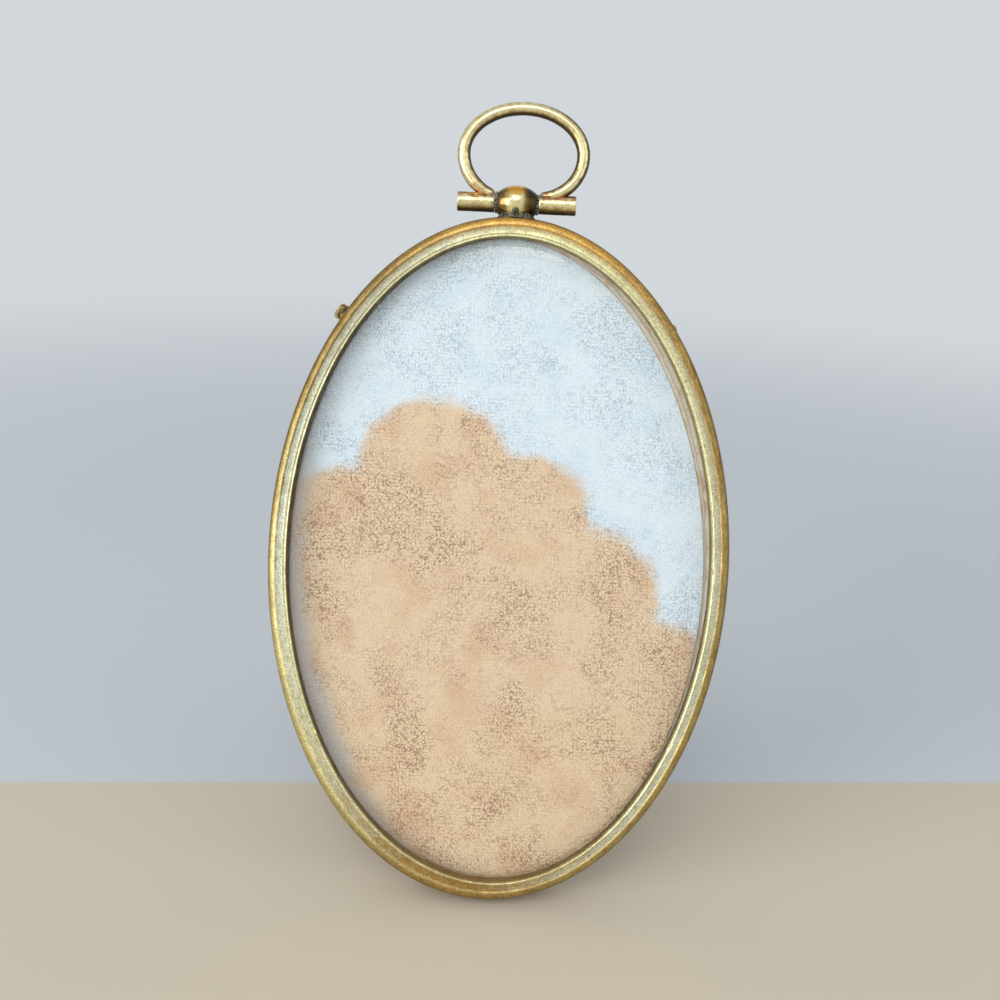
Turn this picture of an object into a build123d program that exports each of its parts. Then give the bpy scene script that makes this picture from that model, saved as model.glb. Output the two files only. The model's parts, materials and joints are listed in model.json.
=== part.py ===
from build123d import *
from math import asin, cos, degrees, hypot, radians, sin, tan
import os

# Small oval brass picture frame. A rim of brass strip, formed to a moulding with a rounded outer edge,
# a flat face and a fine inner ridge, holds a domed glass, a print, a card and a wooden back. A drilled
# ball soldered to the top of the rim carries a swinging hanging bow, and a strut hinged to the back
# folds out so that the frame stands on a table.
#
# The frame leans back on its strut. Its pieces are drawn in the frame's own axes: x to the right, y up
# the frame from the centre of the oval, and z out of the front from the rim's back edge.

# Stance, in degrees
lean_angle = 15
strut_spread = 24

# Bezel rim: outer oval, and the strip's section, with distances inward from the outer oval
rim_half_width = 40.5
rim_half_height = 60.4
rim_depth = 7.6
rim_wall = 0.8
rim_round_in = 1.3
rim_round_back = 1.4
shoulder_drop = 0.25
shoulder_step_in = 0.12
shoulder_step_back = 0.15
face_dish = 0.06
ridge_start_in = 2.45
ridge_peak_in = 2.78
ridge_end_in = 3.05
ridge_height = 0.4
ridge_inner_drop = 0.35
lip_in = 3.15
lip_thickness = 0.6
lip_depth = 2.8
face_thickness = 0.75
inner_corner = 0.5

# Glass, print, card and back board, stacked behind the lip. The print's turn is in degrees.
edge_fit = 0.25
glass_thickness = 1.2
glass_dome_rise = 2.2
glass_dome_margin = 0.2
print_thickness = 0.3
print_trim = 1.45
print_slip_left = 0.75
print_slip_down = 0.3
print_turn = 1.5
card_thickness = 0.5
board_thickness = 2.7
board_edge_chamfer = 0.3

# Side pins that hold the back board, placed by the angle round the oval. The upper left one has worked
# out of the board a little, so its head stands off the rim.
pin_angles = [45, 135, 225, 315]
side_pin_radius = 0.4
side_pin_clearance = 0.02
side_pin_bite = 3.4
side_pin_point = 0.6
side_pin_tip_radius = 0.12
side_pin_head_radius = 1.2
side_pin_head_height = 1.0
side_pin_stand = 0.05
loose_pin_stand = 1.1
pin_stands = [side_pin_stand, loose_pin_stand, side_pin_stand, side_pin_stand]

# Ball and solder at the top of the rim
ball_off_centre = 0.3
ball_depth_place = 3.8
ball_radius = 3.05
ball_half_width = 3.44
ball_side_radius = 1.7
ball_side_fillet = 0.2
bow_axis_rise = 2.72
pin_bore_clearance = 0.03
solder_foot_half_width = 3.2
solder_foot_half_depth = 2.8
solder_top_half_width = 3.0
solder_top_half_depth = 2.5
solder_rise = 0.9
solder_sink = 0.7

# Hanging bow
bow_pin_radius = 0.8
knuckle_radius = 1.65
knuckle_length = 6.45
knuckle_gap = 0.4
knuckle_chamfer = 0.15
bow_pin_recess = 0.1
wire_radius = 1.12
wire_end_height = 1.26
bow_half_width = 10.36
bow_shoulder_height = 8.4
bow_rise = 7.75
bow_set_right = 0.86

# Strut hinge and strut
hinge_height = 22.0
hinge_barrel_radius = 1.5
hinge_pin_radius = 0.8
hinge_board_gap = 0.35
hinge_side_gap = 0.1
hinge_pin_head_radius = 1.25
hinge_pin_head_height = 0.45
hinge_pin_head_fillet = 0.35
strut_barrel_half_length = 4.0
bracket_ear_length = 3.5
bracket_height = 14.0
bracket_thickness = 0.8
bracket_corner = 2.2
bracket_notch_gap = 0.5
rivet_radius = 0.6
rivet_head_radius = 1.2
rivet_head_height = 0.55
rivet_head_fillet = 0.45
rivet_half_spacing = 4.6
rivet_low_height = 5.6
rivet_row_spacing = 5.4
strut_thickness = 1.0
strut_neck_length = 3.0
strut_shoulder_half_width = 6.4
strut_shoulder_length = 3.4
strut_middle_half_width = 7.1
strut_foot_half_width = 12.0
strut_foot_length = 4.0
strut_corner = 2.0
strut_foot_corner = 6.0
rib_width = 2.8
rib_height = 0.45
rib_taper = 35
rib_top_margin = 12.0
rib_foot_margin = 12.0
heel_half_width = 3.4
heel_reach = 3.6
heel_thickness = 0.8
heel_gap = 0.05

# Overrun that carries a cut past the faces it opens
overrun = 1.0

# Heights of the stack above the rim's back edge
shoulder_level = rim_depth - shoulder_drop
glass_front = rim_depth - lip_depth
glass_back = glass_front - glass_thickness
print_back = glass_back - print_thickness
card_back = print_back - card_thickness
board_back = card_back - board_thickness
bracket_back = board_back - bracket_thickness
hinge_level = board_back - hinge_board_gap - hinge_barrel_radius

# Half sizes of what fits inside the rim's wall
inside_half_width = rim_half_width - rim_wall - edge_fit
inside_half_height = rim_half_height - rim_wall - edge_fit

# Where the frame stands: on the rim's back edge and on the strut's foot, with the origin on the table
# under the middle of the whole.
lean_sin = sin(radians(lean_angle))
lean_cos = cos(radians(lean_angle))
strut_tilt = radians(strut_spread - lean_angle)
round_rise = rim_round_back - shoulder_drop
front_reach = rim_half_height * lean_sin + (rim_depth - rim_round_back) * lean_cos
front_reach += hypot(round_rise * lean_cos, rim_round_in * lean_sin) - rim_round_in * lean_sin
hinge_above_table = (rim_half_height + hinge_height) * lean_cos + hinge_level * lean_sin
strut_inner_face = hinge_barrel_radius - strut_thickness
back_reach = hinge_height * lean_sin - hinge_level * lean_cos
back_reach += hinge_above_table * tan(strut_tilt) - strut_inner_face / cos(strut_tilt)
centre_back = (front_reach - back_reach) / 2
lean_frame = Plane(
    origin=(0, centre_back, rim_half_height * lean_cos),
    x_dir=(1, 0, 0),
    z_dir=(0, -lean_cos, lean_sin),
)


def facing(height):
    """Plane parallel to the print, at this height above the rim's back edge."""
    return lean_frame.offset(height)


def leaned(origin, x_dir, z_dir):
    """Plane given in the frame's own axes, carried over to the leaning frame."""
    return Plane(lean_frame.location * Plane(origin=origin, x_dir=x_dir, z_dir=z_dir).location)


def axis_of(plane):
    """Axis through a plane's origin along its x direction."""
    return Axis(plane.origin, plane.x_dir)


# Moulded rim
# The section stands at the top of the oval, with its x inward and its y to the front.
rim_section_plane = leaned((0, rim_half_height, 0), (0, -1, 0), (-1, 0, 0))
round_start = (0, rim_depth - rim_round_back)
round_centre = (rim_round_in, rim_depth - rim_round_back)
face_start = (rim_round_in + shoulder_step_in, shoulder_level - shoulder_step_back)
face_middle = ((face_start[0] + ridge_start_in) / 2, face_start[1] - face_dish)
face_end = (ridge_start_in, rim_depth - ridge_height)
ridge_peak = (ridge_peak_in, rim_depth)
ridge_end = (ridge_end_in, rim_depth - ridge_inner_drop)
lip_foot = (lip_in, glass_front)
lip_back = (lip_in - lip_thickness, glass_front)
underside_level = face_start[1] - face_thickness
lip_root = (ridge_start_in - lip_thickness / 2, underside_level)
corner_start = (rim_wall + inner_corner, underside_level)
corner_end = (rim_wall, underside_level - inner_corner)


def side_pin_plane(angle):
    """Plane at a side pin: x outward through the rim's wall, y to the front."""
    across = rim_half_width * cos(radians(angle))
    up = rim_half_height * sin(radians(angle))
    outward = (across / rim_half_width**2, up / rim_half_height**2, 0)
    return leaned(
        (across, up, (board_back + card_back) / 2),
        outward,
        (outward[1], -outward[0], 0),
    )


def side_pin_face(angle):
    """Plane across a side pin, facing outward, for its hole."""
    plane = side_pin_plane(angle)
    return Plane(origin=plane.origin, x_dir=plane.y_dir, z_dir=plane.x_dir)


with BuildPart() as bezel_rim:
    with BuildLine(facing(0)) as rim_path:
        for start in (90, 270):
            EllipticalCenterArc((0, 0), rim_half_width, rim_half_height, start, arc_size=180)
    with BuildSketch(rim_section_plane):
        with BuildLine():
            Line((0, 0), round_start)
            EllipticalCenterArc(round_centre, rim_round_in, round_rise, 180, arc_size=-90)
            Line((rim_round_in, shoulder_level), face_start)
            ThreePointArc(face_start, face_middle, face_end)
            ThreePointArc(face_end, ridge_peak, ridge_end)
            Polyline(ridge_end, lip_foot, lip_back, lip_root, corner_start, corner_end)
            Polyline(corner_end, (rim_wall, 0), (0, 0))
        make_face()
    sweep(path=rim_path.line)
    for pin_angle in pin_angles:
        with BuildSketch(side_pin_face(pin_angle)):
            Circle(side_pin_radius + side_pin_clearance)
        extrude(amount=rim_wall + overrun, both=True, mode=Mode.SUBTRACT)

bezel_rim.part.label = "bezel_rim"

# Domed glass
# Two arcs, one along each axis of the oval, give the dome. Its edge is a flat flange under the lip.
dome_half_width = rim_half_width - lip_in - glass_dome_margin
dome_half_height = rim_half_height - lip_in - glass_dome_margin
dome_radius_across = (dome_half_width**2 + glass_dome_rise**2) / (2 * glass_dome_rise)
dome_radius_up = (dome_half_height**2 + glass_dome_rise**2) / (2 * glass_dome_rise)
dome_top = glass_front + glass_dome_rise
dome_arc_up = degrees(asin((dome_half_height + overrun) / dome_radius_up))
dome_arc_across = degrees(asin((dome_half_width + overrun) / dome_radius_across))
middle_plane = leaned((0, 0, 0), (0, 1, 0), (1, 0, 0))
dome_axis = axis_of(leaned((0, 0, dome_top - dome_radius_across), (0, 1, 0), (1, 0, 0)))

with BuildPart() as convex_glass:
    with BuildSketch(middle_plane):
        with BuildLine():
            dome_centre = (0, dome_top - dome_radius_up)
            dome_start = 90 - dome_arc_up
            outer_arc = CenterArc(dome_centre, dome_radius_up, dome_start, 2 * dome_arc_up)
            inner_radius = dome_radius_up - glass_thickness
            inner_arc = CenterArc(dome_centre, inner_radius, dome_start, 2 * dome_arc_up)
            Line(outer_arc @ 0, inner_arc @ 0)
            Line(outer_arc @ 1, inner_arc @ 1)
        make_face()
    revolve(axis=dome_axis, revolution_arc=dome_arc_across)
    mirror(about=middle_plane)
    with BuildSketch(facing(glass_back)):
        Ellipse(dome_half_width, dome_half_height)
    extrude(amount=glass_thickness + glass_dome_rise + overrun, mode=Mode.INTERSECT)
    with BuildSketch(facing(glass_back)):
        Ellipse(inside_half_width, inside_half_height)
        Ellipse(
            dome_half_width - glass_dome_margin,
            dome_half_height - glass_dome_margin,
            mode=Mode.SUBTRACT,
        )
    extrude(amount=glass_thickness)

convex_glass.part.label = "convex_glass"

# Print, trimmed small, slipped to the lower left and a little askew, and the card behind it
with BuildPart() as picture_print:
    with BuildSketch(facing(print_back)):
        with Locations((-print_slip_left, -print_slip_down)):
            Ellipse(
                inside_half_width - print_slip_left - print_trim,
                inside_half_height - print_slip_down - print_trim,
                rotation=print_turn,
            )
    extrude(amount=print_thickness)

picture_print.part.label = "picture_print"

with BuildPart() as backing_card:
    with BuildSketch(facing(card_back)):
        Ellipse(inside_half_width, inside_half_height)
    extrude(amount=card_thickness)

backing_card.part.label = "backing_card"

# Wooden back board, drilled for the bracket's rivets and pierced at its edge by the side pins
rivet_places = []
for row in range(2):
    rivet_height = hinge_height + rivet_low_height + row * rivet_row_spacing
    rivet_places += [(-rivet_half_spacing, rivet_height), (rivet_half_spacing, rivet_height)]

with BuildPart() as back_board:
    with BuildSketch(facing(board_back)):
        Ellipse(inside_half_width, inside_half_height)
    extrude(amount=board_thickness)
    back_edges = back_board.edges().group_by(Axis(lean_frame.origin, lean_frame.z_dir))[0]
    chamfer(back_edges, length=board_edge_chamfer)
    with BuildSketch(facing(board_back)):
        with Locations(*rivet_places):
            Circle(rivet_radius)
    extrude(amount=board_thickness, mode=Mode.SUBTRACT)
    for pin_angle in pin_angles:
        with BuildSketch(side_pin_face(pin_angle)):
            Circle(side_pin_radius + side_pin_clearance)
        extrude(amount=-side_pin_bite, mode=Mode.SUBTRACT)

back_board.part.label = "back_board"

with BuildPart() as side_pins:
    for pin_angle, stand in zip(pin_angles, pin_stands):
        pin_plane = side_pin_plane(pin_angle)
        with BuildSketch(pin_plane):
            with BuildLine():
                Polyline(
                    (stand + side_pin_head_height, 0),
                    (-side_pin_bite, 0),
                    (-side_pin_bite, side_pin_tip_radius),
                    (side_pin_point - side_pin_bite, side_pin_radius),
                    (stand, side_pin_radius),
                    (stand, side_pin_head_radius),
                )
                TangentArc(
                    (stand + side_pin_head_height, 0),
                    (stand, side_pin_head_radius),
                    tangent=(0, 1),
                )
            make_face()
        revolve(axis=axis_of(pin_plane))

side_pins.part.label = "side_pins"

# Ball at the top: turned about the bow's pin, filed to the rim and drilled for the pin
bow_plane = leaned(
    (ball_off_centre, rim_half_height + bow_axis_rise, ball_depth_place), (1, 0, 0), (0, 0, 1)
)
# Across the bow's pin, at the middle of the ball
bow_end_plane = Plane(origin=bow_plane.origin, x_dir=bow_plane.y_dir, z_dir=bow_plane.x_dir)
knuckle_start = ball_half_width + knuckle_gap
knuckle_end = knuckle_start + knuckle_length

with BuildPart() as finial_ball:
    with BuildSketch(bow_plane):
        with BuildLine():
            Line((-ball_half_width, 0), (-ball_half_width, ball_side_radius))
            ThreePointArc(
                (-ball_half_width, ball_side_radius),
                (0, ball_radius),
                (ball_half_width, ball_side_radius),
            )
            Polyline((ball_half_width, ball_side_radius), (ball_half_width, 0), (-ball_half_width, 0))
        make_face()
    revolve(axis=axis_of(bow_plane))
    fillet(finial_ball.edges().filter_by(GeomType.CIRCLE), radius=ball_side_fillet)
    with BuildSketch(facing(-overrun)):
        Ellipse(rim_half_width, rim_half_height)
    extrude(amount=rim_depth + 2 * overrun, mode=Mode.SUBTRACT)
    with BuildSketch(bow_end_plane):
        Circle(bow_pin_radius + pin_bore_clearance)
    extrude(amount=ball_half_width + overrun, both=True, mode=Mode.SUBTRACT)

finial_ball.part.label = "finial_ball"

# Solder bedded between the ball and the rim
solder_place = (ball_off_centre, rim_half_height - solder_sink, ball_depth_place)
solder_foot = leaned(solder_place, (1, 0, 0), (0, 1, 0))

with BuildPart() as finial_solder:
    with BuildSketch(solder_foot):
        Ellipse(solder_foot_half_width, solder_foot_half_depth)
    with BuildSketch(solder_foot.offset(solder_sink + solder_rise)):
        Ellipse(solder_top_half_width, solder_top_half_depth)
    loft()
    with BuildSketch(facing(-overrun)):
        Ellipse(rim_half_width, rim_half_height)
    extrude(amount=rim_depth + 2 * overrun, mode=Mode.SUBTRACT)
    add(finial_ball.part, mode=Mode.SUBTRACT)

finial_solder.part.label = "finial_solder"

# Hanging bow: a round wire whose ends lie along two knuckles, and a pin through the knuckles and ball
with BuildPart() as bow_wire:
    with BuildLine(bow_plane) as bow_path:
        bow_arch = EllipticalCenterArc(
            (bow_set_right, bow_shoulder_height), bow_half_width, bow_rise, arc_size=180
        )
        right_end = (knuckle_start, wire_end_height)
        left_end = (-knuckle_start, wire_end_height)
        bow_right = (bow_set_right + bow_half_width, bow_shoulder_height)
        bow_left = (bow_set_right - bow_half_width, bow_shoulder_height)
        TangentArc(bow_right, right_end, tangent=-(bow_arch % 0))
        TangentArc(bow_left, left_end, tangent=bow_arch % 1)
    wire_start = bow_path.wire() @ 0
    with BuildSketch(Plane(origin=wire_start, x_dir=bow_plane.z_dir, z_dir=bow_path.wire() % 0)):
        Circle(wire_radius)
    sweep(path=bow_path.line)
    for side in (-1, 1):
        with BuildSketch(bow_end_plane.offset(side * ball_half_width)):
            Circle(knuckle_radius)
        extrude(amount=side * (knuckle_gap + knuckle_length), mode=Mode.SUBTRACT)

bow_wire.part.label = "bow_wire"


def bow_knuckle(side):
    """Tube brazed under one end of the wire: side is -1 on the left and 1 on the right."""
    with BuildPart() as knuckle:
        with BuildSketch(bow_end_plane.offset(side * knuckle_start)):
            Circle(knuckle_radius)
        extrude(amount=side * knuckle_length)
        outer_end = knuckle.faces().sort_by(Axis.X)[0 if side < 0 else -1]
        chamfer(outer_end.edges(), length=knuckle_chamfer)
        with BuildSketch(bow_end_plane.offset(side * knuckle_start)):
            Circle(bow_pin_radius)
        extrude(amount=side * knuckle_length, mode=Mode.SUBTRACT)
    return knuckle


bow_knuckle_left = bow_knuckle(-1)
bow_knuckle_left.part.label = "bow_knuckle_left"
bow_knuckle_right = bow_knuckle(1)
bow_knuckle_right.part.label = "bow_knuckle_right"

with BuildPart() as bow_pin:
    with BuildSketch(bow_end_plane):
        Circle(bow_pin_radius)
    extrude(amount=knuckle_end - bow_pin_recess, both=True)

bow_pin.part.label = "bow_pin"

# Strut hinge: a bracket riveted to the board, with an ear at each side of the strut's barrel
hinge_plane = leaned((0, hinge_height, hinge_level), (0, 1, 0), (1, 0, 0))
ear_start = strut_barrel_half_length + hinge_side_gap
ear_end = ear_start + bracket_ear_length

with BuildPart() as strut_bracket:
    with BuildSketch(facing(board_back)):
        with Locations((0, hinge_height + bracket_height / 2)):
            bracket_leaf = Rectangle(2 * ear_end, bracket_height)
        fillet(bracket_leaf.vertices().group_by(Axis.Y)[-1], bracket_corner)
    extrude(amount=-bracket_thickness)
    for side in (-1, 1):
        with BuildSketch(hinge_plane.offset(side * ear_start)):
            Circle(hinge_barrel_radius)
        extrude(amount=side * bracket_ear_length)
    with BuildSketch(facing(board_back + overrun)):
        with Locations((0, hinge_height)):
            Rectangle(2 * ear_start, 2 * (hinge_barrel_radius + bracket_notch_gap))
    extrude(amount=-2 * (overrun + hinge_barrel_radius), mode=Mode.SUBTRACT)
    with BuildSketch(hinge_plane):
        Circle(hinge_pin_radius)
    extrude(amount=ear_end + overrun, both=True, mode=Mode.SUBTRACT)
    with BuildSketch(facing(board_back)):
        with Locations(*rivet_places):
            Circle(rivet_radius)
    extrude(amount=-bracket_thickness, mode=Mode.SUBTRACT)

strut_bracket.part.label = "strut_bracket"

with BuildPart() as bracket_rivets:
    with BuildSketch(facing(card_back)):
        with Locations(*rivet_places):
            Circle(rivet_radius)
    extrude(amount=-(board_thickness + bracket_thickness))
    with BuildSketch(facing(bracket_back)):
        with Locations(*rivet_places):
            Circle(rivet_head_radius)
    extrude(amount=-rivet_head_height)
    head_edges = bracket_rivets.edges().group_by(Axis(lean_frame.origin, lean_frame.z_dir))[0]
    fillet(head_edges, radius=rivet_head_fillet)

bracket_rivets.part.label = "bracket_rivets"

with BuildPart() as strut_hinge_pin:
    with BuildSketch(hinge_plane):
        Circle(hinge_pin_radius)
    extrude(amount=ear_end, both=True)
    for side in (-1, 1):
        with BuildSketch(hinge_plane.offset(side * ear_end)):
            Circle(hinge_pin_head_radius)
        extrude(amount=side * hinge_pin_head_height)
    for end in (0, -1):
        head = strut_hinge_pin.faces().sort_by(Axis.X)[end]
        fillet(head.edges(), radius=hinge_pin_head_fillet)

strut_hinge_pin.part.label = "strut_hinge_pin"

# Strut: waisted brass plate on a barrel, with a pressed rib. Its heel meets the bracket when it is open.
strut_plane = Plane(
    origin=hinge_plane.origin,
    x_dir=(1, 0, 0),
    z_dir=(0, -cos(strut_tilt), -sin(strut_tilt)),
)
strut_reach = hinge_above_table / cos(strut_tilt)
strut_cut_reach = strut_reach + overrun
shoulder_low = strut_neck_length + strut_shoulder_length
foot_top = strut_reach - strut_foot_length
rib_length = strut_reach - rib_top_margin - rib_foot_margin

with BuildPart() as easel_strut:
    with BuildSketch(strut_plane.offset(strut_inner_face)) as strut_outline:
        with BuildLine():
            Polyline(
                (0, 0),
                (strut_barrel_half_length, 0),
                (strut_barrel_half_length, -strut_neck_length),
                (strut_shoulder_half_width, -shoulder_low),
            )
            ThreePointArc(
                (strut_shoulder_half_width, -shoulder_low),
                (strut_middle_half_width, -(shoulder_low + foot_top) / 2),
                (strut_foot_half_width, -foot_top),
            )
            Polyline(
                (strut_foot_half_width, -foot_top),
                (strut_foot_half_width, -strut_cut_reach),
                (0, -strut_cut_reach),
            )
            mirror(about=Plane.YZ)
        make_face()
        corners = strut_outline.vertices().group_by(Axis.Y)
        fillet(corners[-2] + corners[-3], radius=strut_corner)
        fillet(corners[1], radius=strut_foot_corner)
    extrude(amount=strut_thickness)
    with BuildSketch(strut_plane.offset(strut_inner_face)):
        with Locations((0, -(rib_top_margin + rib_length / 2))):
            SlotOverall(rib_length, rib_width, rotation=90)
    extrude(amount=-rib_height, taper=rib_taper)
    with BuildSketch(facing(bracket_back - heel_gap)):
        with Locations((0, hinge_height + heel_reach / 2)):
            Rectangle(2 * heel_half_width, heel_reach)
    extrude(amount=-heel_thickness)
    with BuildSketch(hinge_plane):
        Circle(hinge_barrel_radius)
    extrude(amount=strut_barrel_half_length, both=True)
    with BuildSketch(hinge_plane):
        Circle(hinge_pin_radius + pin_bore_clearance)
    extrude(amount=strut_barrel_half_length + overrun, both=True, mode=Mode.SUBTRACT)
    split(bisect_by=Plane.XY, keep=Keep.TOP)

easel_strut.part.label = "easel_strut"

pieces = [
    bezel_rim, convex_glass, picture_print, backing_card, back_board, side_pins,
    finial_ball, finial_solder, bow_wire, bow_knuckle_left, bow_knuckle_right, bow_pin,
    strut_bracket, bracket_rivets, strut_hinge_pin, easel_strut,
]

os.makedirs("parts", exist_ok=True)
for piece in pieces:
    export_step(piece.part, f"parts/{piece.part.label}.step")
    size = piece.part.bounding_box().size
    print(f"{piece.part.label}: {len(piece.part.solids())} solids, {piece.part.volume:.1f} mm3, "
          f"{size.X:.1f} x {size.Y:.1f} x {size.Z:.1f} mm")
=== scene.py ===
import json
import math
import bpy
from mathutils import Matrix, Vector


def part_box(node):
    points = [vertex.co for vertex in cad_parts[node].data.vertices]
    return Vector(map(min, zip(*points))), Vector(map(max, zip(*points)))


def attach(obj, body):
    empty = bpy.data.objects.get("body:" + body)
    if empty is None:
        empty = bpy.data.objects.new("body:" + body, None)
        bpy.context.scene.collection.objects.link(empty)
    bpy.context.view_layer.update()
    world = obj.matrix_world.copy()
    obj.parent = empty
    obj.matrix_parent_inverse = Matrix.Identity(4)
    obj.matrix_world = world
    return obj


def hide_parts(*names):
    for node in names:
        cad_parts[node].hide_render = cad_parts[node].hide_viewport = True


bl_info = {
    "name": "Oval Brass Frame",
    "version": (1, 0, 0),
    "blender": (4, 5, 0),
    "location": "3D View > Sidebar > Oval Frame",
    "description": "Dresses an oval picture frame: aged brass rim, domed glass, print, hanging bow and strut",
    "category": "Object",
}

import bmesh
import bpy
import numpy as np
from mathutils import Matrix, Quaternion, Vector, noise

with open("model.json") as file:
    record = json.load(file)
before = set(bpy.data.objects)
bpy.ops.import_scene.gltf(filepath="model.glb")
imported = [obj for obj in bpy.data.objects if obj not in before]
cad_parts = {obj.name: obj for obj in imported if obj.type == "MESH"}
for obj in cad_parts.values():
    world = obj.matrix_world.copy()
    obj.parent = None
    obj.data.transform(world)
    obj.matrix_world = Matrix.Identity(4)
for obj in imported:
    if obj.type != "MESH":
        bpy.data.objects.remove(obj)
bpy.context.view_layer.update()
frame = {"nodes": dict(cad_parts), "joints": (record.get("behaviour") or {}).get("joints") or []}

MM = 0.001

# The frame's own axes: across to the right, up the leaning frame from the oval's centre, and out of the
# front from the rim's back edge. The bow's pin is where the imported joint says.
LEAN = math.radians(15)
ACROSS = Vector((1, 0, 0))
UP = Vector((0, math.sin(LEAN), math.cos(LEAN)))
OUT = Vector((0, -math.cos(LEAN), math.sin(LEAN)))
JOINTS = {joint["name"]: joint for joint in frame["joints"]}
BOW_PIVOT = Vector(JOINTS["bow_hinge"]["pos_m"])

# The rim's outer oval, and the bow's pin in the frame's own axes
RIM_LOW, RIM_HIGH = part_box("bezel_rim")
RIM_HALF_WIDTH = (RIM_HIGH.x - RIM_LOW.x) / 2
RIM_HALF_HEIGHT = 60.4 * MM
PIN_ACROSS = 0.3 * MM
PIN_UP = RIM_HALF_HEIGHT + 2.72 * MM
PIN_OUT = 3.8 * MM

# The oval's centre, level with the rim's back edge
CENTRE = BOW_PIVOT - ACROSS * PIN_ACROSS - UP * PIN_UP - OUT * PIN_OUT

# Rim's section, as distances inward from the outer oval and heights above the back edge
RIM_DEPTH = 7.6 * MM
RIM_WALL = 0.8 * MM
ROUND_IN = 1.3 * MM
ROUND_BACK = 1.4 * MM
SHOULDER_DROP = 0.25 * MM
SHOULDER_IN = 0.12 * MM
SHOULDER_BACK = 0.15 * MM
FACE_DISH = 0.035 * MM
RIDGE_START = 2.45 * MM
RIDGE_PEAK = 2.78 * MM
RIDGE_END = 3.05 * MM
RIDGE_HEIGHT = 0.4 * MM
RIDGE_INNER_DROP = 0.35 * MM
LIP_IN = 3.15 * MM
LIP_THICKNESS = 0.6 * MM
LIP_LEVEL = 4.8 * MM
FACE_THICKNESS = 0.75 * MM
INNER_CORNER = 0.5 * MM

# Glass and print, behind the lip
EDGE_FIT = 0.25 * MM
INSIDE_HALF_WIDTH = RIM_HALF_WIDTH - RIM_WALL - EDGE_FIT
INSIDE_HALF_HEIGHT = RIM_HALF_HEIGHT - RIM_WALL - EDGE_FIT
GLASS_THICKNESS = 1.2 * MM
GLASS_BACK = LIP_LEVEL - GLASS_THICKNESS
DOME_RISE = 2.2 * MM
DOME_MARGIN = 0.2 * MM
DOME_HALF_WIDTH = RIM_HALF_WIDTH - LIP_IN - DOME_MARGIN
DOME_HALF_HEIGHT = RIM_HALF_HEIGHT - LIP_IN - DOME_MARGIN
PRINT_THICKNESS = 0.3 * MM
PRINT_TRIM = 1.45 * MM
PRINT_SLIP = (-0.75 * MM, -0.3 * MM)
PRINT_TURN = math.radians(1.5)
PRINT_HALF_WIDTH = INSIDE_HALF_WIDTH + PRINT_SLIP[0] - PRINT_TRIM
PRINT_HALF_HEIGHT = INSIDE_HALF_HEIGHT + PRINT_SLIP[1] - PRINT_TRIM

# Bow, ball and knuckles, measured from the middle of the bow's pin
WIRE_END_HEIGHT = 1.26 * MM
BOW_HALF_WIDTH = 10.36 * MM
BOW_SHOULDER_HEIGHT = 8.4 * MM
BOW_RISE = 7.75 * MM
BOW_SET_RIGHT = 0.86 * MM
KNUCKLE_START = 3.84 * MM
KNUCKLE_END = 10.29 * MM
KNUCKLE_CHAMFER = 0.15 * MM
PIN_RADIUS = 0.8 * MM
BALL_HALF_WIDTH = 3.44 * MM
BALL_SIDE_RADIUS = 1.7 * MM


def linear(hex_colour):
    """An sRGB hex colour as linear red, green and blue."""
    shares = [int(hex_colour[place:place + 2], 16) / 255 for place in (0, 2, 4)]
    return tuple(c / 12.92 if c <= 0.04045 else ((c + 0.055) / 1.055) ** 2.4 for c in shares)


def length(name, description, default):
    """A size that a user can change."""
    return bpy.props.FloatProperty(name=name, description=description, default=default, unit="LENGTH")


def shade(name, description, hex_colour):
    """A colour that a user can change."""
    return bpy.props.FloatVectorProperty(
        name=name, description=description, subtype="COLOR", size=3, min=0, max=1, default=linear(hex_colour)
    )


class FrameSizes(bpy.types.PropertyGroup):
    """Sizes that a user would change."""

    rim_half_width: length("Rim half width", "Half the width of the outer oval", RIM_HALF_WIDTH)
    rim_half_height: length("Rim half height", "Half the outer oval's height up the frame", RIM_HALF_HEIGHT)
    rim_unevenness: length("Rim unevenness", "How far the hand-formed moulding wanders in and out", 0.05 * MM)
    wire_radius: length("Wire radius", "Radius of the bow's round wire", 1.12 * MM)
    knuckle_radius: length("Knuckle radius", "Outer radius of the two tubes at the bow's ends", 1.65 * MM)
    ball_radius: length("Ball radius", "Radius of the ball at its middle", 3.05 * MM)
    pit_size: length("Pit size", "Width of the fine pits in the old brass", 0.3 * MM)
    floor_half_width: length("Floor half width", "Half the width of the pale floor", 2.5)


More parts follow.
